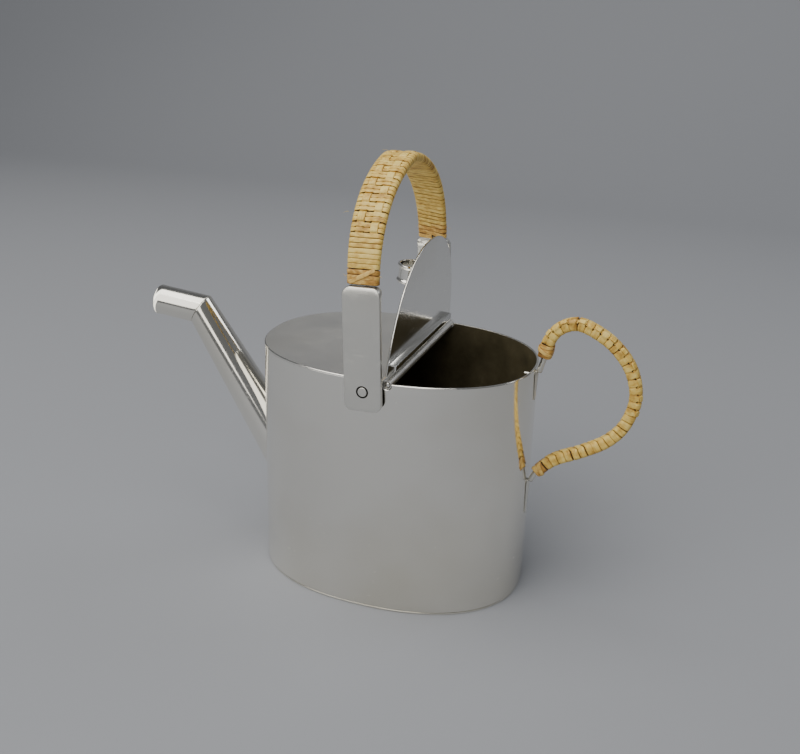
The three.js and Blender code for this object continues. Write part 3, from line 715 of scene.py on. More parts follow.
fillet, mitre_gap = 1.3, 0.06
foot, fillet_foot = to_wall(0.0), to_wall(fillet)
fillet_steps = np.linspace(0, 1, 7)[1:] * 1.7 * fillet
head = to_mitre(root_radius, taper, along, spout_root, mitre_gap)
loops = [cone_loop(fillet_foot - 0.2, fillet)]
loops += [
    cone_loop(np.maximum(foot, fillet_foot) + d * 0.6, fillet * (1 - d / (1.7 * fillet)) ** 2)
    for d in fillet_steps
]
body_foot = np.maximum(foot, fillet_foot) + fillet_steps[-1] * 0.6
for share in np.linspace(0.02, 1, 30)[:-1]:
    loops.append(cone_loop(body_foot + (head - 0.5 - body_foot) * share, 0.0))
loops += [cone_loop(head - 0.5, 0.0), cone_loop(head - 0.12, -0.02), cone_loop(head, -0.12)]
inner_head = to_mitre(root_radius - spout_sheet, taper, along, spout_root, mitre_gap)
loops += [cone_loop(inner_head, -spout_sheet), cone_loop(foot, -spout_sheet)]
spout_cone = make("spout_cone", *skin(np.stack(loops), closed=True), polished)
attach(spout_cone, "pot")
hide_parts("spout_barrel")


def tube_loop(place, radius):
    """A loop on the level tube."""
    return spout_elbow + level * place[:, None] + round_rays(level) * radius


tube_head = to_mitre(elbow_radius, 0.0, level, spout_elbow, -mitre_gap)
tube_bore_head = to_mitre(elbow_radius - spout_sheet, 0.0, level, spout_elbow, -mitre_gap)
ones = np.ones(len(spin))
loops = [tube_loop(tube_head, elbow_radius - 0.12), tube_loop(tube_head + 0.12, elbow_radius - 0.02)]
loops += [
    tube_loop(tube_head + 0.5 + (tip_length - 1.2 - tube_head) * share, elbow_radius)
    for share in np.linspace(0, 1, 12)
]
lip_corners = [
    (tip_length - 0.7, elbow_radius), (tip_length, elbow_radius + 0.05),
    (tip_length, elbow_radius - spout_sheet), (tip_length - 1.2, elbow_radius - spout_sheet),
]
lip = rounded(lip_corners, 0.42)
loops += [tube_loop(ones * place, radius) for place, radius in lip]
loops.append(tube_loop(tube_bore_head, elbow_radius - spout_sheet))
spout_tube = make("spout_tube", *skin(np.stack(loops), closed=True), polished)
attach(spout_tube, "pot")
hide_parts("spout_tip")

# ------------------------------------------------------------------------------------------------
# Pivots: on each side a rivet through the wall and the strap, with a domed tail and a washer inside
# the pot, a collar between wall and strap, and a flat frosted head sunk in the strap.
satin = silver("satin_silver", (0.27, 0.38), 1.6, (0.66, 0.63, 0.56), (0.76, 0.75, 0.70), ripple=0.3)
pivot_x, _, pivot_z = pivot_of["bail_swing"]


def with_painted_shade(material, name, centre, radius, inner_face, clear_height):
    """A copy of a silver finish with painted shade: black on the face next to the wall, nearer the middle
    plane than a distance and below the pot's rim, for the shade in the gap between strap and wall, and in
    the sink round a pivot's axis, for the shade of the sink painted as a dark ring."""
    dark = material.copy()
    dark.name = name
    tree = dark.node_tree
    shader = next(n for n in tree.nodes if n.type == "BSDF_PRINCIPLED").inputs
    tint = shader["Base Color"].links[0].from_socket
    parts = node(tree, "SeparateXYZ", {"Vector": node(tree, "TexCoord")["Object"]})
    level = node(tree, "CombineXYZ", {"X": parts["X"], "Z": parts["Z"]})["Vector"]
    middle = (centre[0] * MM, 0, centre[1] * MM)
    away = node(tree, "VectorMath", {0: level, 1: middle}, operation="DISTANCE")["Value"]
    beside = reckon(tree, "ABSOLUTE", parts["Y"])
    sunk = rescale(tree, away, radius * MM, (radius + 0.08) * MM)
    behind = rescale(tree, beside, inner_face * MM, (inner_face + 0.25) * MM)
    above = rescale(tree, parts["Z"], (clear_height - 4) * MM, clear_height * MM)
    clear = reckon(tree, "MULTIPLY", sunk, reckon(tree, "MAXIMUM", behind, above))
    # The near-black colour is painted shade for the gap behind the strap and the rivet's sink.
    mixed = node(tree, "Mix", {"Factor": clear, 6: (0.035, 0.03, 0.022, 1), 7: tint}, data_type="RGBA")
    tree.links.new(mixed[2], shader["Base Color"])
    return dark


rivet_radius, head_radius, tail_radius, collar_radius, washer_radius = 1.5, 2.1, 2.6, 3.6, 3.4
for side, way in (("left", -1), ("right", 1)):
    low_y, high_y = sorted(abs(corner[1]) for corner in box_of("pivot_rivet_" + side))
    rivet_corners = [
        (0.4, low_y), (tail_radius - 0.5, low_y + 0.05), (tail_radius, low_y + 0.9),
        (rivet_radius, low_y + 0.92), (rivet_radius, high_y - 0.6), (head_radius, high_y - 0.6),
        (head_radius, high_y), (0.4, high_y + 0.02),
    ]
    rivet_line = rounded(rivet_corners, [0.1, 0.7, 0.15, 0.1, 0.1, 0.1, 0.3, 0.1]) * [1, way]
    rivet = make("rivet_" + side, *turned(rivet_line, 72, (pivot_x, 0, pivot_z), "y"), satin)
    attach(rivet, "pot")
    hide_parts("pivot_rivet_" + side)
    for name, radius, node_name in (
        ("washer_", washer_radius, "pivot_backing_"),
        ("collar_", collar_radius, "pivot_collar_"),
    ):
        near_y, far_y = sorted(abs(corner[1]) for corner in box_of(node_name + side))
        bore = rivet_radius + 0.05
        ring_corners = [(bore, near_y), (radius, near_y), (radius, far_y), (bore, far_y)]
        ring_loop = rounded(ring_corners, [0.1, 0.3, 0.3, 0.1], closed=True)
        angle = full_turn(72)
        circle = np.stack([np.cos(angle), np.zeros(len(angle)), np.sin(angle)], 1)
        loops = circle[None] * ring_loop[:, :1, None] + np.array([pivot_x, 0, pivot_z])
        loops[..., 1] = way * ring_loop[:, 1:]
        piece = make(name + side, *skin(loops, closed=True), satin)
        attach(piece, "pot")
        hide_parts(node_name + side)

# ------------------------------------------------------------------------------------------------
# Straps: two flat bars with round corners, satin from handling, bevelled at the top where each
# steps in to the cane-wrapped arch, and countersunk for the rivet's head. At rest the bail leans
# two degrees towards the spout.
bail_lean = math.radians(2)
strap_width, strap_inner, strap_outer, strap_below, strap_above = 17.1, 48.6, 50.9, 9.0, 46.3
strap_corner, bevel_high, bevel_deep, neck_inner, face_middle = 3.6, 4.5, 0.7, 46.15, 18.0
sink_radius, sink_depth, strap_edge = 2.75, 0.7, 0.5


def leaned(points):
    """Turns points of the upright bail, measured from the rivets' axis, to where it leans."""
    c, s = math.cos(bail_lean), math.sin(bail_lean)
    x, y, z = points[..., 0], points[..., 1], points[..., 2]
    return np.stack([x * c - z * s + pivot_x, y, x * s + z * c + pivot_z], -1)


def strap_loops(way):
    """Loops of one strap from the middle of its inner face, over the edge to the middle of its
    outer face. Each is a rectangle with round corners, drawn in by an inset; across the thickness
    it lies between an inner and an outer line that step in towards the arch near the top."""
    half = strap_width / 2
    angle = np.linspace(0, math.pi / 2, 13)
    corner = np.stack([np.cos(angle), np.sin(angle)], 1)
    over_edge = [
        (strap_edge * (1 - math.sin(a)), 0.18 * (1 - math.cos(a))) for a in np.linspace(0.3, 1.57, 5)
    ]
    layers = [(inset, 0) for inset in (6, 3, 1.4, strap_edge)] + over_edge
    layers += [(inset, 1 - through) for inset, through in layers[::-1]]
    loops = []
    for inset, through in layers:
        radius = max(strap_corner - inset, 0.05)
        wide, low, high = half - inset, -strap_below + inset, strap_above - inset
        sides = np.linspace(0, 1, 61)[1:-1]
        quarter = [
            corner * radius + [wide - radius, high - radius],
            corner[::-1] * [-radius, radius] + [-wide + radius, high - radius],
            corner * -radius + [-wide + radius, low + radius],
            corner[::-1] * [radius, -radius] + [wide - radius, low + radius],
        ]
        line = []
        for k, arc in enumerate(quarter):
            following = quarter[(k + 1) % 4][0]
            line += [arc, arc[-1] + (following - arc[-1]) * sides[:, None]]
        line = np.concatenate(line)
        height = line[:, 1]
        in_bevel = np.clip((height - strap_above + bevel_high) / bevel_high, 0, 1)
        outer = strap_outer - bevel_deep * in_bevel**2
        inner = np.interp(height, [strap_above - 4, strap_above - 1.6], [strap_inner, neck_inner])
        out = inner + (outer - inner) * through
        loops.append(np.stack([line[:, 0], way * out, height], 1))
    return np.stack(loops)


# The straps' finish has painted shade: black on the face next to the wall and round the rivet's sink.
strap_silver_painted_shade = with_painted_shade(
    satin, "strap_silver_painted_shade", (pivot_x, pivot_z), sink_radius, strap_inner + 0.1, cover_high[2]
)
for side, way in (("left", -1), ("right", 1)):
    ends = [np.array([0, way * face, face_middle]) for face in (strap_inner, strap_outer)]
    strap = make("strap_" + side, *skin(strap_loops(way), ends=ends), strap_silver_painted_shade)
    sink = [(sink_radius, way * (strap_outer - sink_depth)), (sink_radius, way * (strap_outer + 2))]
    hole = [(rivet_radius + 0.15, way * (strap_inner - 4)), (rivet_radius + 0.15, way * strap_outer)]
    drilled(strap, [turned(sink, 72, axis="y"), turned(hole, 48, axis="y")], satin)
    points = leaned(read(strap.data.vertices, "co") / MM)
    strap.data.vertices.foreach_set("co", (points * MM).ravel())
    strap.data.set_sharp_from_angle(angle=math.radians(28))
    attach(strap, "bail")
    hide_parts("bail_strap_" + side)

# ------------------------------------------------------------------------------------------------
# Cane: strips of split rattan skin, honey coloured, a little glossy, with fine lengthwise fibres.
# Every strip carries an attribute: millimetres along it, place across it from -1 to 1, and a tone
# that changes from turn to turn.
draw = np.random.default_rng(11)
strip_section = np.array(
    [
        (-1, 0.0), (1, 0.0), (1.0, 0.55), (0.95, 0.80), (0.78, 0.93), (0.35, 1.0),
        (-0.35, 1.0), (-0.78, 0.93), (-0.95, 0.80), (-1.0, 0.55),
    ]
)


def unit(vectors):
    """The vectors at length one."""
    return vectors / np.linalg.norm(vectors, axis=-1, keepdims=True)


def ease(share):
    """A share from 0 to 1 that starts and ends gently: three squares less two cubes."""
    return share * share * (3 - 2 * share)


def run_along(line):
    """How far along a line of points each of them is."""
    return np.concatenate([[0], np.cumsum(np.linalg.norm(np.diff(line, axis=0), axis=1))])


def cane_finish(name, dark, mid, light, dull):
    """Split cane. Fibres are a noise drawn out along the strip; the colour runs from dark through mid to
    light with the fibres and each turn's tone, and darkens at the strip's edges as painted shade where the
    turns meet; the fibres also stand a little proud."""
    material, tree, shader = shaded(name, Specular_IOR_Level=0.45)
    strip = node(tree, "Attribute", attribute_name="cane")["Vector"]
    parts = node(tree, "SeparateXYZ", {"Vector": strip})
    drawn = node(tree, "Mapping", {"Vector": strip, "Scale": (0.22, 7.0, 9.0)})["Vector"]
    fibre = noise(tree, drawn, 1.0, 5.0, 0.6)
    blotch_at = node(tree, "Mapping", {"Vector": strip, "Scale": (0.35, 0.6, 3.0)})["Vector"]
    both = reckon(tree, "MULTIPLY_ADD", fibre, 0.62, noise(tree, blotch_at, 1.0, 2.0))
    toned = reckon(tree, "MULTIPLY_ADD", parts["Z"], 0.55, both)
    # Painted shade: the colour darkens towards each strip's edges, where the turns meet.
    painted_edge_shade = rescale(tree, reckon(tree, "ABSOLUTE", parts["Y"]), 0.78, 1.0, 0.0, 0.26)
    level = reckon(tree, "SUBTRACT", toned, painted_edge_shade)
    colour = blend_stops(tree, level, (0.45, dark), (0.78, mid), (1.0, light))
    tree.links.new(colour, shader["Base Color"])
    tree.links.new(blend_stops(tree, fibre, (0.3, dull), (0.7, dull + 0.14)), shader["Roughness"])
    tree.links.new(relief(tree, fibre, 0.5, 0.00012), shader["Normal"])
    return material


cane = cane_finish("split_cane", (0.38, 0.18, 0.022), (0.76, 0.50, 0.105), (0.90, 0.68, 0.20), 0.38)
tucked = cane_finish("tucked_cane", (0.20, 0.075, 0.012), (0.56, 0.30, 0.06), (0.82, 0.56, 0.17), 0.45)
# Cane coloured almost black: painted shade for the layer that shows in the gaps between turns.
bed_cane_painted_shade = cane_finish("bed_cane_painted_shade", (0.020, 0.011, 0.004), (0.036, 0.019, 0.007), (0.06, 0.032, 0.011), 0.7)


def strip_skin(middle, across, up, half_wide, thick, tone):
    """A strip of cane along a line of points: its crowned section scaled by half width along across
    and by thickness along up. Returns its skin and its attribute."""
    count = len(middle)
    half_wide, thick, tone = (np.broadcast_to(v, count) for v in (half_wide, thick, tone))
    loops = (
        middle[:, None]
        + across[:, None] * (strip_section[None, :, :1] * half_wide[:, None, None])
        + up[:, None] * (strip_section[None, :, 1:] * thick[:, None, None])
    )
    run = run_along(middle)
    marks = np.broadcast_arrays(run[:, None], strip_section[None, :, 0], tone[:, None])
    marks = np.stack(marks, -1).reshape(-1, 3)
    marks = np.vstack([marks, [run[0], 0, tone[0]], [run[-1], 0, tone[-1]]])
    return skin(loops), marks


def laid(middle, up, half_wide, thick, tone):
    """A strip of cane that follows a line of points and lies flat on the surface whose outward
    sides are up."""
    across = np.cross(up, unit(np.gradient(middle, axis=0)))
    return strip_skin(middle, across, up, half_wide, thick, tone)


def cane_piece(name, strips, material, place=None):
    """One object from several strips and their attributes, moved by a place function."""
    points, faces = together(*[shell for shell, _ in strips])
    points = points if place is None else place(points)
    made = make(name, points, faces, material)
    marks = np.concatenate([mark for _, mark in strips])
    made.data.attributes.new("cane", "FLOAT_VECTOR", "POINT").data.foreach_set("vector", marks.ravel())
    return made


class Band:
    """The surface that cane is wound on: a line of middles with unit directions out of the curve and
    across it, half sizes each way, and a corner radius. s runs along it in millimetres. Round it, a
    share from 0 to 1 starts in the middle of the inner side and passes the middle of the outer
    side at a half; sides and corners take shares by their average lengths."""

    def __init__(self, middle, out, across, half_out, half_across, corner):
        self.s = run_along(middle)
        self.rows = (middle, out, across)
        self.half_out, self.half_across = half_out, half_across
        self.corner = np.minimum(corner, half_out - 0.05)
        flat, side = np.mean(half_across - self.corner), 2 * np.mean(half_out - self.corner)
        arc = np.mean(self.corner) * math.pi / 2
        lengths = [0, flat, arc, side, arc, flat, flat, arc, side, arc, flat]
        self.girth = sum(lengths)
        self.shares = np.cumsum(lengths) / self.girth
        self.inner = (flat + arc / 2) / self.girth

    def at(self, s):
        """Middle, out and across at places along it."""
        return [np.stack([np.interp(s, self.s, row[:, k]) for k in range(3)], 1) for row in self.rows]

    def point(self, s, share, lift):
        """The point a lift above the surface at a share of the way round, and its outward side."""
        middle, out, across = self.at(s)
        a, b, r = (np.interp(s, self.s, v)[:, None] for v in (self.half_across, self.half_out, self.corner))
        wide = np.interp(share, self.shares, [0, 1, 1, 1, 1, 0, -1, -1, -1, -1, 0])[:, None]
        deep = np.interp(share, self.shares, [-1, -1, -1, 1, 1, 1, 1, 1, -1, -1, -1])[:, None]
        turn = np.interp(share, self.shares, [-90, -90, 0, 0, 90, 90, 90, 180, 180, 270, 270])
        turn = np.radians(turn)[:, None]
        up = across * np.cos(turn) + out * np.sin(turn)
        corner = middle + across * (wide * (a - r)) + out * (deep * (b - r))
        return corner + up * (r + np.asarray(lift)[:, None]), up


def wound(band, starts, lift, thick, cover, tone, nudge=None, notch=None, per_turn=72):
    """A strip wound round a band. starts holds the place of each turn and of the end; within a turn
    the strip moves on along the band only while it crosses the inner side, so that it lies square
    across the outer side. lift(s, u, turn) is its height over the band, where u is millimetres
    round from the middle of the outer side, cover the share of the pitch that its width fills,
    nudge moves a turn along where it crosses the outer side, and notch narrows it."""
    turns = len(starts) - 1
    t = np.linspace(0, turns, turns * per_turn + 1)
    number = np.minimum(t.astype(int), turns - 1)
    share = t - number
    inner = band.inner
    onward = 0.5 * np.clip(share / inner, 0, 1) + 0.5 * np.clip((share - 1 + inner) / inner, 0, 1)
    begin, finish = starts[number], starts[number + 1]
    aside = np.zeros(turns) if nudge is None else nudge
    outer_part = ease(np.clip(np.minimum(share, 1 - share) / inner, 0, 1))
    s = begin + (finish - begin) * onward + aside[number] * outer_part
    height = lift(s, (share - 0.5) * band.girth, number)
    middle, up = band.point(s, share, height)
    spread = band.point(s + 0.5, share, height)[0] - band.point(s - 0.5, share, height)[0]
    stretch = np.linalg.norm(spread, axis=1)
    across = spread / stretch[:, None]
    up = unit(up - across * np.sum(up * across, 1)[:, None])
    pitch = (finish - begin) * stretch
    following = tone[np.minimum(number + 1, turns - 1)]
    tones = tone[number] + (following - tone[number]) * ease(np.clip(share * 4 - 3, 0, 1))
    narrowed = 1.0 if notch is None else 1 - notch(s, (share - 0.5) * band.girth, number)
    return strip_skin(middle, across, up, pitch * cover[number] * narrowed / 2, thick, tones)


# ------------------------------------------------------------------------------------------------
# Bail core: the flat metal bar that the cane is wound on, fixed between the tops of the straps. It
# is out of sight, so its plain shape stays and takes the straps' finish.
core = bpy.data.objects["bail_core"]
core.data.materials.clear()
core.data.materials.append(satin)

# ------------------------------------------------------------------------------------------------
# Bail's cane: a strip wound tightly round the arch. On the legs the turns lie plain; over the top
# two lengthwise strips pass over and under pairs of turns, half a step apart, like basket work.
arch_foot, arch_wrap, foot_top = 44.9, 52.9, 46.6
arch_outer_span, arch_outer_rise, arch_inner_span, arch_inner_rise = 48.85, 50.0, 45.55, 45.7
arch_foot_width, arch_top_width, arch_corner = 14.2, 16.4, 1.5
shoulder, crown_pull = 0.857, 0.1


def arch_line(span, rise, t):
    """One edge line of the arch in the YZ plane, from the left foot (t = -1) over the crown to the
    right foot (t = 1): on each side a cubic Bezier that leaves its foot upright."""
    u = 1 - np.abs(t)
    ends = np.array([(span, 0), (span, shoulder * rise), (crown_pull * span, rise), (0, rise)])
    weights = np.stack([(1 - u) ** 3, 3 * u * (1 - u) ** 2, 3 * u**2 * (1 - u), u**3], 1)
    line = weights @ ends
    return np.stack([line[:, 0] * np.where(t < 0, -1, 1), line[:, 1] + arch_foot], 1)


def upright(line):
    """Points of a line across the pot, as (place across, height), in space."""
    return np.stack([np.zeros(len(line)), line[:, 0], line[:, 1]], 1)


arch_points = 1201
t = np.linspace(-1, 1, arch_points)
outer_line = arch_line(arch_outer_span, arch_outer_rise, t)
inner_line = arch_line(arch_inner_span, arch_inner_rise, t)
rise_share = np.clip((outer_line[:, 1] - arch_foot) / arch_outer_rise, 0, 1)
outward_line = outer_line - inner_line
thickness = np.linalg.norm(outward_line, axis=1)
outward_line /= thickness[:, None]
middle_line = (outer_line + inner_line) / 2
wrap_thick, row_step, leg_step, bump = 0.45, 4.4, 2.05, 0.34
weave_low = 67.0
half_width_line = (arch_foot_width + (arch_top_width - arch_foot_width) * rise_share) / 2
arch = Band(
    upright(middle_line), upright(outward_line), np.tile([1.0, 0.0, 0.0], (len(t), 1)),
    thickness / 2 - wrap_thick, half_width_line - wrap_thick - 0.1, arch_corner,
)
arch_end = arch.s[-1]


def up_left_leg(height):
    """How far along the arch its left leg reaches a height."""
    leg = slice(0, arch_points // 2)
    return np.interp(height, middle_line[leg, 1], arch.s[leg])


left_wrap, left_weave = up_left_leg(arch_wrap + 0.4), up_left_leg(weave_low)
rows = int(round((arch_end - 2 * left_weave) / row_step))
row_edges = left_weave + np.arange(rows + 1) * (arch_end - 2 * left_weave) / rows
row_edges[1:-1] += draw.normal(0, 0.12, rows - 1)
leg_turns = int(round((left_weave - left_wrap) / leg_step))
leg_places = np.arange(leg_turns) * (left_weave - left_wrap) / leg_turns
left_starts = left_wrap + leg_places
left_starts[1:] += draw.normal(0, 0.07, leg_turns - 1)
right_starts = arch_end - left_wrap - leg_places[::-1]
row_middles = (row_edges[1:] + row_edges[:-1]) / 2 + draw.normal(0, 0.05, rows)
pair = np.sort(np.concatenate([row_edges, row_middles]))
turn_starts = np.concatenate([left_starts, pair, right_starts])
turns = len(turn_starts) - 1
tone_drift, plain_cover, woven_less, loose_cover = 0.16, 0.97, 0.07, 0.86
lane_places, lane_half = (-3.3, 3.3), 1.75
lane_pinch, lane_pinch_wide = 0.17, 0.6


def over_lane(s, u, turn):
    """Height of the winding over the arch: in the woven part it rises in a smooth hump where it
    crosses a lane strip that passes beneath it in that row."""
    row = np.clip(np.searchsorted(row_edges, s) - 1, 0, rows - 1)
    woven = (s > row_edges[0]) & (s < row_edges[-1])
    height = np.zeros(len(s))
    for lane, place in enumerate(lane_places):
        hump = ease(np.clip(1 - (np.abs(u + place) - lane_half * 0.75) / (lane_half * 0.75), 0, 1))
        height = np.maximum(height, hump * np.where(woven & (row % 2 == lane), bump, 0.0))
    return height


def lane_notch(s, u, turn):
    """How much a turn narrows beside a lane, as a share: a bell on each edge of each lane."""
    woven = (s > row_edges[0] + 0.3) & (s < row_edges[-1] - 0.3)
    off_edge = [(np.abs(u + place) - lane_half) / lane_pinch_wide for place in lane_places]
    return np.where(woven, lane_pinch * sum(np.exp(-(off**2)) for off in off_edge), 0.0)


each_tone = draw.normal(0, tone_drift, turns)
pair_tone = draw.normal(0, tone_drift, turns // 2 + 1)
turn_tone = 0.5 * each_tone + 0.5 * np.repeat(pair_tone, 2)[:turns]
cover = np.clip(draw.normal(plain_cover, 0.012, turns), 0.93, 0.99)
nudge = np.zeros(turns)
woven_turns = (turn_starts[:-1] > row_edges[0] - 0.1) & (turn_starts[1:] < row_edges[-1] + 0.1)
together_by = np.where(np.cumsum(woven_turns) % 2 == 1, 0.13, -0.13)[woven_turns]
nudge[woven_turns] = together_by * draw.uniform(0.6, 1.3, woven_turns.sum())
cover[woven_turns] -= woven_less
open_turns = ~woven_turns & (draw.random(turns) < 0.3)
cover[open_turns] = loose_cover
winding = wound(arch, turn_starts, over_lane, wrap_thick, cover, turn_tone, nudge, lane_notch)

lanes, lane_under = [], -0.35
for lane, place in enumerate(lane_places):
    along = np.linspace(row_edges[0] - 0.5, row_edges[-1] + 0.5, rows * 14)
    row_at = np.interp(along, row_edges, np.arange(rows + 1))
    phase = row_at - np.floor(row_at)
    over = np.floor(row_at).astype(int) % 2 != lane
    hop = ease(np.clip(np.minimum(phase, 1 - phase) / 0.16, 0, 1))
    height = np.where(over, lane_under + hop * (wrap_thick - lane_under + 0.02), lane_under)
    middle, out, across = arch.at(along)
    b = np.interp(along, arch.s, arch.half_out)[:, None]
    middle = middle + out * (b + height[:, None]) + across * place
    lanes.append(strip_skin(middle, across, out, lane_half, wrap_thick * 0.85, 0.1 * draw.normal()))


def stray(start, along, curl, length):
    """A loose fibre: a hair-thin strip from a point in a direction, bending over with the square
    of the way along it."""
    t = np.linspace(0, 1, 9)[:, None]
    line = np.array(start) + (np.array(along) * t + np.array(curl) * t**2) * length
    run = unit(np.gradient(line, axis=0))
    side = unit(np.cross(run, (0.3, 0.2, 0.93)))
    thin = 1.2 - t[:, 0]
    return strip_skin(line, side, np.cross(side, run), 0.11 * thin, 0.14 * thin, 0.75)


def shade_bed_of(name, band, low_s, high_s, count, place=None):
    """The layer of cane that the winding lies on, painted near black as the shade that shows in the gaps
    between turns: the band's own surface, a little lower.
    """
    size, lowered = 64, -0.12
    s, shares = np.linspace(low_s, high_s, count), np.linspace(0, 1, size, endpoint=False)
    lift = np.full(count * size, lowered)
    points = band.point(np.repeat(s, size), np.tile(shares, count), lift)[0]
    points = points if place is None else place(points)
    return make(name, *skin(points.reshape(count, size, 3)), bed_cane_painted_shade)


fibres = [
    stray((-2.0, -6.5, 95.2), (-0.5, -0.5, 0.65), (-0.2, 0, -0.35), 5.0),
    stray((1.5, -4.0, 95.3), (0.7, -0.4, 0.3), (0.2, 0, -0.5), 3.4),
    stray((-7.9, -42.5, 76.0), (-0.9, -0.2, 0.1), (0.1, 0, -0.3), 2.6),
    stray((8.0, -43.8, 73.5), (0.7, -0.3, 0.6), (0.2, 0, -0.6), 2.6),
    stray((7.8, -46.6, 64.0), (0.8, -0.3, -0.2), (0, 0, 0.4), 2.0),
    stray((-3.0, -44.4, 78.2), (0.6, -0.8, 0.3), (0.2, 0, 0.2), 2.2),
]
wrap = cane_piece("bail_cane", [winding, *lanes, *fibres], cane, leaned)
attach(wrap, "bail")
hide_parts("bail_wrap")
# Under the winding, a near-black layer of painted shade for the gaps between turns.
foot_s = up_left_leg(foot_top + 0.15)
bed = shade_bed_of("bail_cane_shade_bed", arch, foot_s, arch_end - foot_s, 340, leaned)
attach(bed, "bail")
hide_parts("bail_wrap")

# ------------------------------------------------------------------------------------------------
# Bail's bindings: at each foot the cane's end is bound with a few darker turns, with a strand
# drawn slantwise over them and tucked under, and rough ends that stand out.
binding_turns, binding_lift, binding_face = 3, 0.12, 48.4
foot_places = np.arange(binding_turns + 1) * (left_wrap - 0.35 - foot_s) / binding_turns
foot_starts = foot_s + 0.2 + foot_places
foot_across = np.interp(foot_s, arch.s, arch.half_across)
foot_out = np.interp(foot_s, arch.s, arch.half_out)
slope = np.linspace(0, 1, 60)
for side, way in (("left", 1), ("right", -1)):
    starts = foot_starts if way > 0 else arch_end - foot_starts[::-1]
    bound = wound(
        arch, starts, lambda s, u, turn: np.full(len(s), binding_lift), wrap_thick,
        np.full(binding_turns, 0.96), draw.normal(0, 0.12, binding_turns),
        draw.normal(0, 0.12, binding_turns),
    )
    slant_s = foot_starts[0] + 0.6 + (foot_starts[-1] - foot_starts[0] - 0.6) * slope
    slant_s = slant_s if way > 0 else arch_end - slant_s
    middle, out, across = arch.at(slant_s)
    tucked_in = np.sin(math.pi * slope) ** 0.4
    rise = foot_out + binding_lift + wrap_thick * (0.15 + 0.85 * tucked_in)
    middle = middle + out * rise[:, None] + across * (foot_across * (1.75 * slope - 0.9))[:, None]
    slanted = laid(middle, out, 0.95, wrap_thick * 0.8, 0.25)
    outer_y = -way * binding_face
    fibres = [
        stray((-7.2, outer_y, 50.2), (-0.7, 0, 0.25), (0, 0, 0.3), 2.0),
        stray((7.4, outer_y, 51.2), (0.8, way * -0.3, 0.1), (0, 0, -0.3), 2.2),
    ]
    binding = cane_piece("bail_binding_cane_" + side, [bound, slanted, *fibres], tucked, leaned)
    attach(binding, "bail")
    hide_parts("bail_binding_" + side)

# ------------------------------------------------------------------------------------------------
# Loop handle's rod: round silver wire, bent to the loop and soldered at both ends to a tongue. It
# shows only at its ends, where the cane stops short of the tongues.
loop_stops = [
    (3.5, 4.8), (4.9, 12.0), (9.0, 18.4), (17.1, 21.7), (29.4, 17.1), (37.5, 10.3), (42.7, 2.5),
    (45.3, -8.8), (41.8, -22.7), (35.2, -31.2), (24.9, -38.1), (11.3, -45.4), (4.2, -52.5),
]
rod_radius, upper_tongue_top, lower_tongue_top, rod_below_top = 1.3, 112.4, 57.6, 0.4


def through(stops, steps=40):
    """A smooth line through points: in each gap a cubic whose end slopes are those of the
    centripetal Catmull-Rom curve, with gaps measured by the roots of the distances."""
    stops = np.asarray(stops, float)
    stops = np.vstack([2 * stops[0] - stops[1], stops, 2 * stops[-1] - stops[-2]])
    gap = np.sqrt(np.linalg.norm(np.diff(stops, axis=0), axis=1))[:, None]
    slope = np.diff(stops, axis=0) / gap
    wide = (stops[2:] - stops[:-2]) / (gap[1:] + gap[:-1])
    tangent = slope[:-1] + slope[1:] - wide
    a, b, h = stops[1:-2, None], stops[2:-1, None], gap[1:-1, None]
    start, end = tangent[:-1, None] * h, tangent[1:, None] * h
    t = np.linspace(0, 1, steps, endpoint=False)[None, :, None]
    line = (
        (2 * t**3 - 3 * t**2 + 1) * a + (t**3 - 2 * t**2 + t) * start
        + (-2 * t**3 + 3 * t**2) * b + (t**3 - t**2) * end
    )
    return np.vstack([line.reshape(-1, stops.shape[1]), stops[-2]])


def loop_frame(flat):
    """Middles, outward and sideways directions along a line in the XZ plane that runs clockwise."""
    run = unit(np.gradient(flat, axis=0))
    zero = np.zeros(len(flat))
    middle = np.stack([flat[:, 0], zero, flat[:, 1]], 1)
    out = np.stack([-run[:, 1], zero, run[:, 0]], 1)
    return middle, out, np.tile([0.0, 1.0, 0.0], (len(flat), 1))


loop_flat = through(np.array(loop_stops) + [half_length, cover_high[2]])
rod_x = half_length + 0.05 + rod_radius + 0.2
rod_ends = [(rod_x, place - rod_below_top) for place in (upper_tongue_top, lower_tongue_top)]
rod_flat = through([rod_ends[0], *loop_flat[::20], rod_ends[1]], 12)
middle, out, across = loop_frame(rod_flat)
angle = full_turn(28)[None, :, None]
rays = out[:, None] * np.cos(angle) + across[:, None] * np.sin(angle)
rod_loops = middle[:, None] + rod_radius * rays
rod = make("loop_rod", *skin(rod_loops), satin)
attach(rod, "pot")
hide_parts("loop_core")

# ------------------------------------------------------------------------------------------------
# Tongues: pointed leaves forged at the rod's ends and soldered to the rear wall, points down.
# The pin through the wall above is plain wire, and keeps its shape.
tongue_half, tongue_thick = 2.2, 1.3


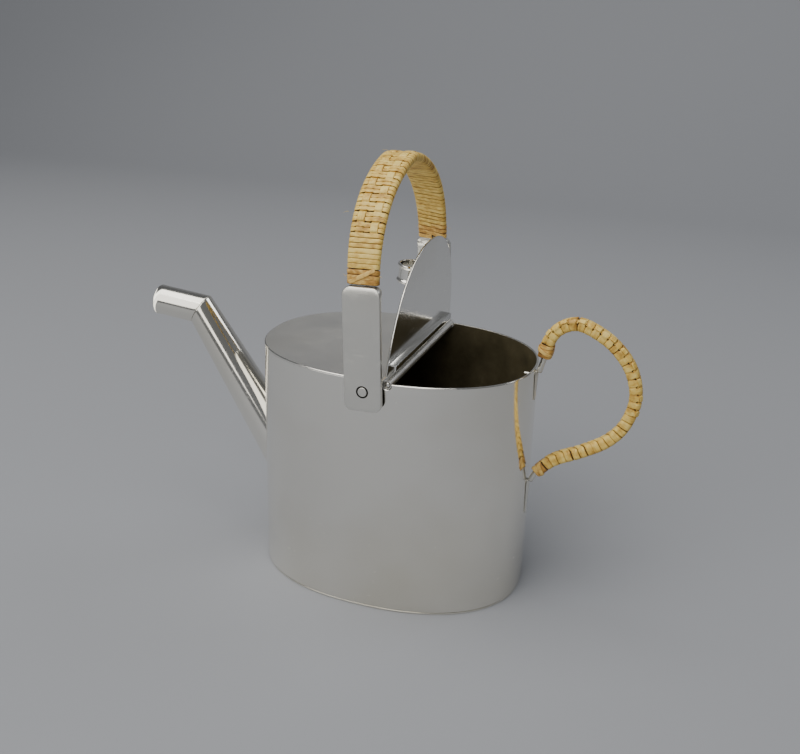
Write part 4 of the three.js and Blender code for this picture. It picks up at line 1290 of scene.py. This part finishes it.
def tongue_loops(top, length):
    """Loops down a tongue. Its half width swells from the flat top and then falls to the point as
    one less a power of the way down; each loop follows the curved wall behind and is crowned in
    front."""
    down = np.concatenate([[0, 0.08, 0.25], np.linspace(0.6, length - 0.02, 46)])
    swell = 0.62 + 0.38 * np.sin(np.clip(down / 2.0, 0, 1) * math.pi / 2)
    narrow = 1 - np.clip((down - 1.2) / (length - 1.2), 0, 1) ** 1.45
    wide = tongue_half * swell * narrow * np.interp(down, [0, 0.25], [0.86, 1]) + 0.03
    v = np.linspace(-1, 1, 17)
    y = np.concatenate([v, v[::-1][1:-1]])[None] * wide[:, None]
    wall = half_length * (1 - np.abs(y / half_width) ** squareness) ** (1 / squareness)
    crown = np.concatenate([1 - 0.72 * np.abs(v) ** 1.5, np.full(15, 0.04)])
    depth = tongue_thick * np.interp(down, [0, 0.25, 2, length], [0.7, 1, 1, 0.45])
    x = wall + 0.03 + crown[None] * depth[:, None]
    return np.stack([x, y, np.broadcast_to((top - down)[:, None], y.shape)], -1)


for name, top, length in (("upper", upper_tongue_top, 14.6), ("lower", lower_tongue_top, 18.0)):
    tongue = make("tongue_" + name, *skin(tongue_loops(top, length)), satin)
    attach(tongue, "pot")
    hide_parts("loop_tongue_" + name)

pin = bpy.data.objects["loop_pin"]
pin.data.materials.clear()
pin.data.materials.append(polished)

# ------------------------------------------------------------------------------------------------
# Loop handle's cane: one wide strip wound round the rod, with a narrow rib of cane lengthwise on
# its outer side that passes over and under every other turn as far as the lower bend.
loop_half_across, loop_half_out, loop_corner, loop_thick = 3.3, 2.8, 1.4, 0.5
knot_length, loop_pitch, woven_share = 6.0, 3.55, 0.60
rib_half, rib_bump, rib_under, rib_place = 1.05, 0.3, -0.3, 2.35
rib_pinch, rib_pinch_wide = 0.26, 0.42
even = np.ones(len(loop_flat))
loop = Band(
    *loop_frame(loop_flat), (loop_half_out - loop_thick) * even,
    (loop_half_across - loop_thick) * even, loop_corner,
)
loop_end = loop.s[-1]
loop_turns = int(round((loop_end - 2 * knot_length) / loop_pitch))
starts = knot_length + 0.2 + np.arange(loop_turns + 1) * (loop_end - 2 * knot_length - 0.4) / loop_turns
starts[1:-1] += draw.normal(0, 0.16, loop_turns - 1)
woven_turns = int(loop_turns * woven_share)


def over_rib(s, u, turn):
    """Height of the winding: a smooth hump over the rib on every other turn."""
    hump = ease(np.clip(1 - (np.abs(u - rib_place) - rib_half * 0.8) / (rib_half * 0.8), 0, 1))
    return hump * np.where((turn < woven_turns) & (turn % 2 == 0), rib_bump, 0.0)


def rib_notch(s, u, turn):
    """How much a turn narrows at each edge of the rib, as a share."""
    off_edge = (np.abs(u - rib_place) - rib_half * 0.95) / rib_pinch_wide
    return np.where(turn < woven_turns, rib_pinch * np.exp(-(off_edge**2)), 0.0)


tone = draw.normal(0, 0.12, loop_turns)
cover = np.clip(draw.normal(0.99, 0.008, loop_turns), 0.97, 1.0)
cover[woven_turns:] = np.where(draw.random(loop_turns - woven_turns) < 0.45, 0.90, 0.975)
nudge = draw.normal(0, 0.1, loop_turns)
winding = wound(loop, starts, over_rib, loop_thick, cover, tone, nudge, rib_notch)
along = np.linspace(starts[0] + 0.3, starts[woven_turns], woven_turns * 22)
turn_at = np.interp(along, starts, np.arange(loop_turns + 1))
phase = turn_at - np.floor(turn_at)
over = np.floor(turn_at).astype(int) % 2 == 1
hop = ease(np.clip(np.minimum(phase, 1 - phase) / 0.2, 0, 1))
height = np.where(over, rib_under + hop * (loop_thick - rib_under + 0.04), rib_under)
middle, up = loop.point(along, np.full(len(along), 0.5 + rib_place / loop.girth), height)
rib = laid(middle, up, rib_half, loop_thick * 0.85, 0.12)
loop_cane = cane_piece("loop_cane", [winding, rib], cane)
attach(loop_cane, "pot")
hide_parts("loop_wrap")
# Under the winding, a near-black layer of painted shade for the gaps between turns.
bed = shade_bed_of("loop_cane_shade_bed", loop, 0.5, loop_end - 0.5, 240)
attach(bed, "pot")
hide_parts("loop_wrap")

# ------------------------------------------------------------------------------------------------
# Knots: at the top the strip is tied round itself in a small bulge of darker turns with a strand
# crossing them; at the foot it runs out in two narrowing turns with a split end beside the rod.
for name, low_s, high_s, count, bulge in (
    ("upper", 0.15, knot_length - 0.1, 3, 0.6),
    ("lower", loop_end - knot_length + 0.1, loop_end - 0.1, 2, -0.1),
):
    knot_starts = np.linspace(low_s, high_s, count + 1)
    length = high_s - low_s

    def swell(s, u=None, turn=None):
        """Height of the knot: a low arch from one end to the other."""
        return bulge * np.sin(math.pi * np.clip((s - low_s) / length, 0, 1)) ** 0.6

    tied = wound(
        loop, knot_starts, swell, loop_thick, np.full(count, 1.02),
        draw.normal(0, 0.15, count), draw.normal(0, 0.25, count),
    )
    slope = np.linspace(0, 1, 70)
    in_hump = np.sin(math.pi * slope)
    cross_s = low_s + 0.9 + (length - 1.8) * slope
    lift = (loop_thick * 0.9 + swell(cross_s) + 0.2 * in_hump) * in_hump**0.25
    middle, up = loop.point(cross_s, 0.92 - 0.42 * slope, lift)
    crossing = laid(middle, up, 0.9, loop_thick * 0.8, 0.2)
    strips = [tied, crossing]
    if name == "lower":
        x, z = loop_flat[-1]
        strips += [
            stray((x - 0.6, -1.4, z + 0.6), (-0.75, -0.1, -0.7), (0.1, 0, -0.2), 3.6),
            stray((x + 0.2, 0.8, z + 0.2), (-0.5, 0.2, -0.9), (0.3, 0.1, 0.1), 2.8),
        ]
    knot = cane_piece("loop_knot_cane_" + name, strips, tucked)
    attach(knot, "pot")
    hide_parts("loop_knot_" + name)
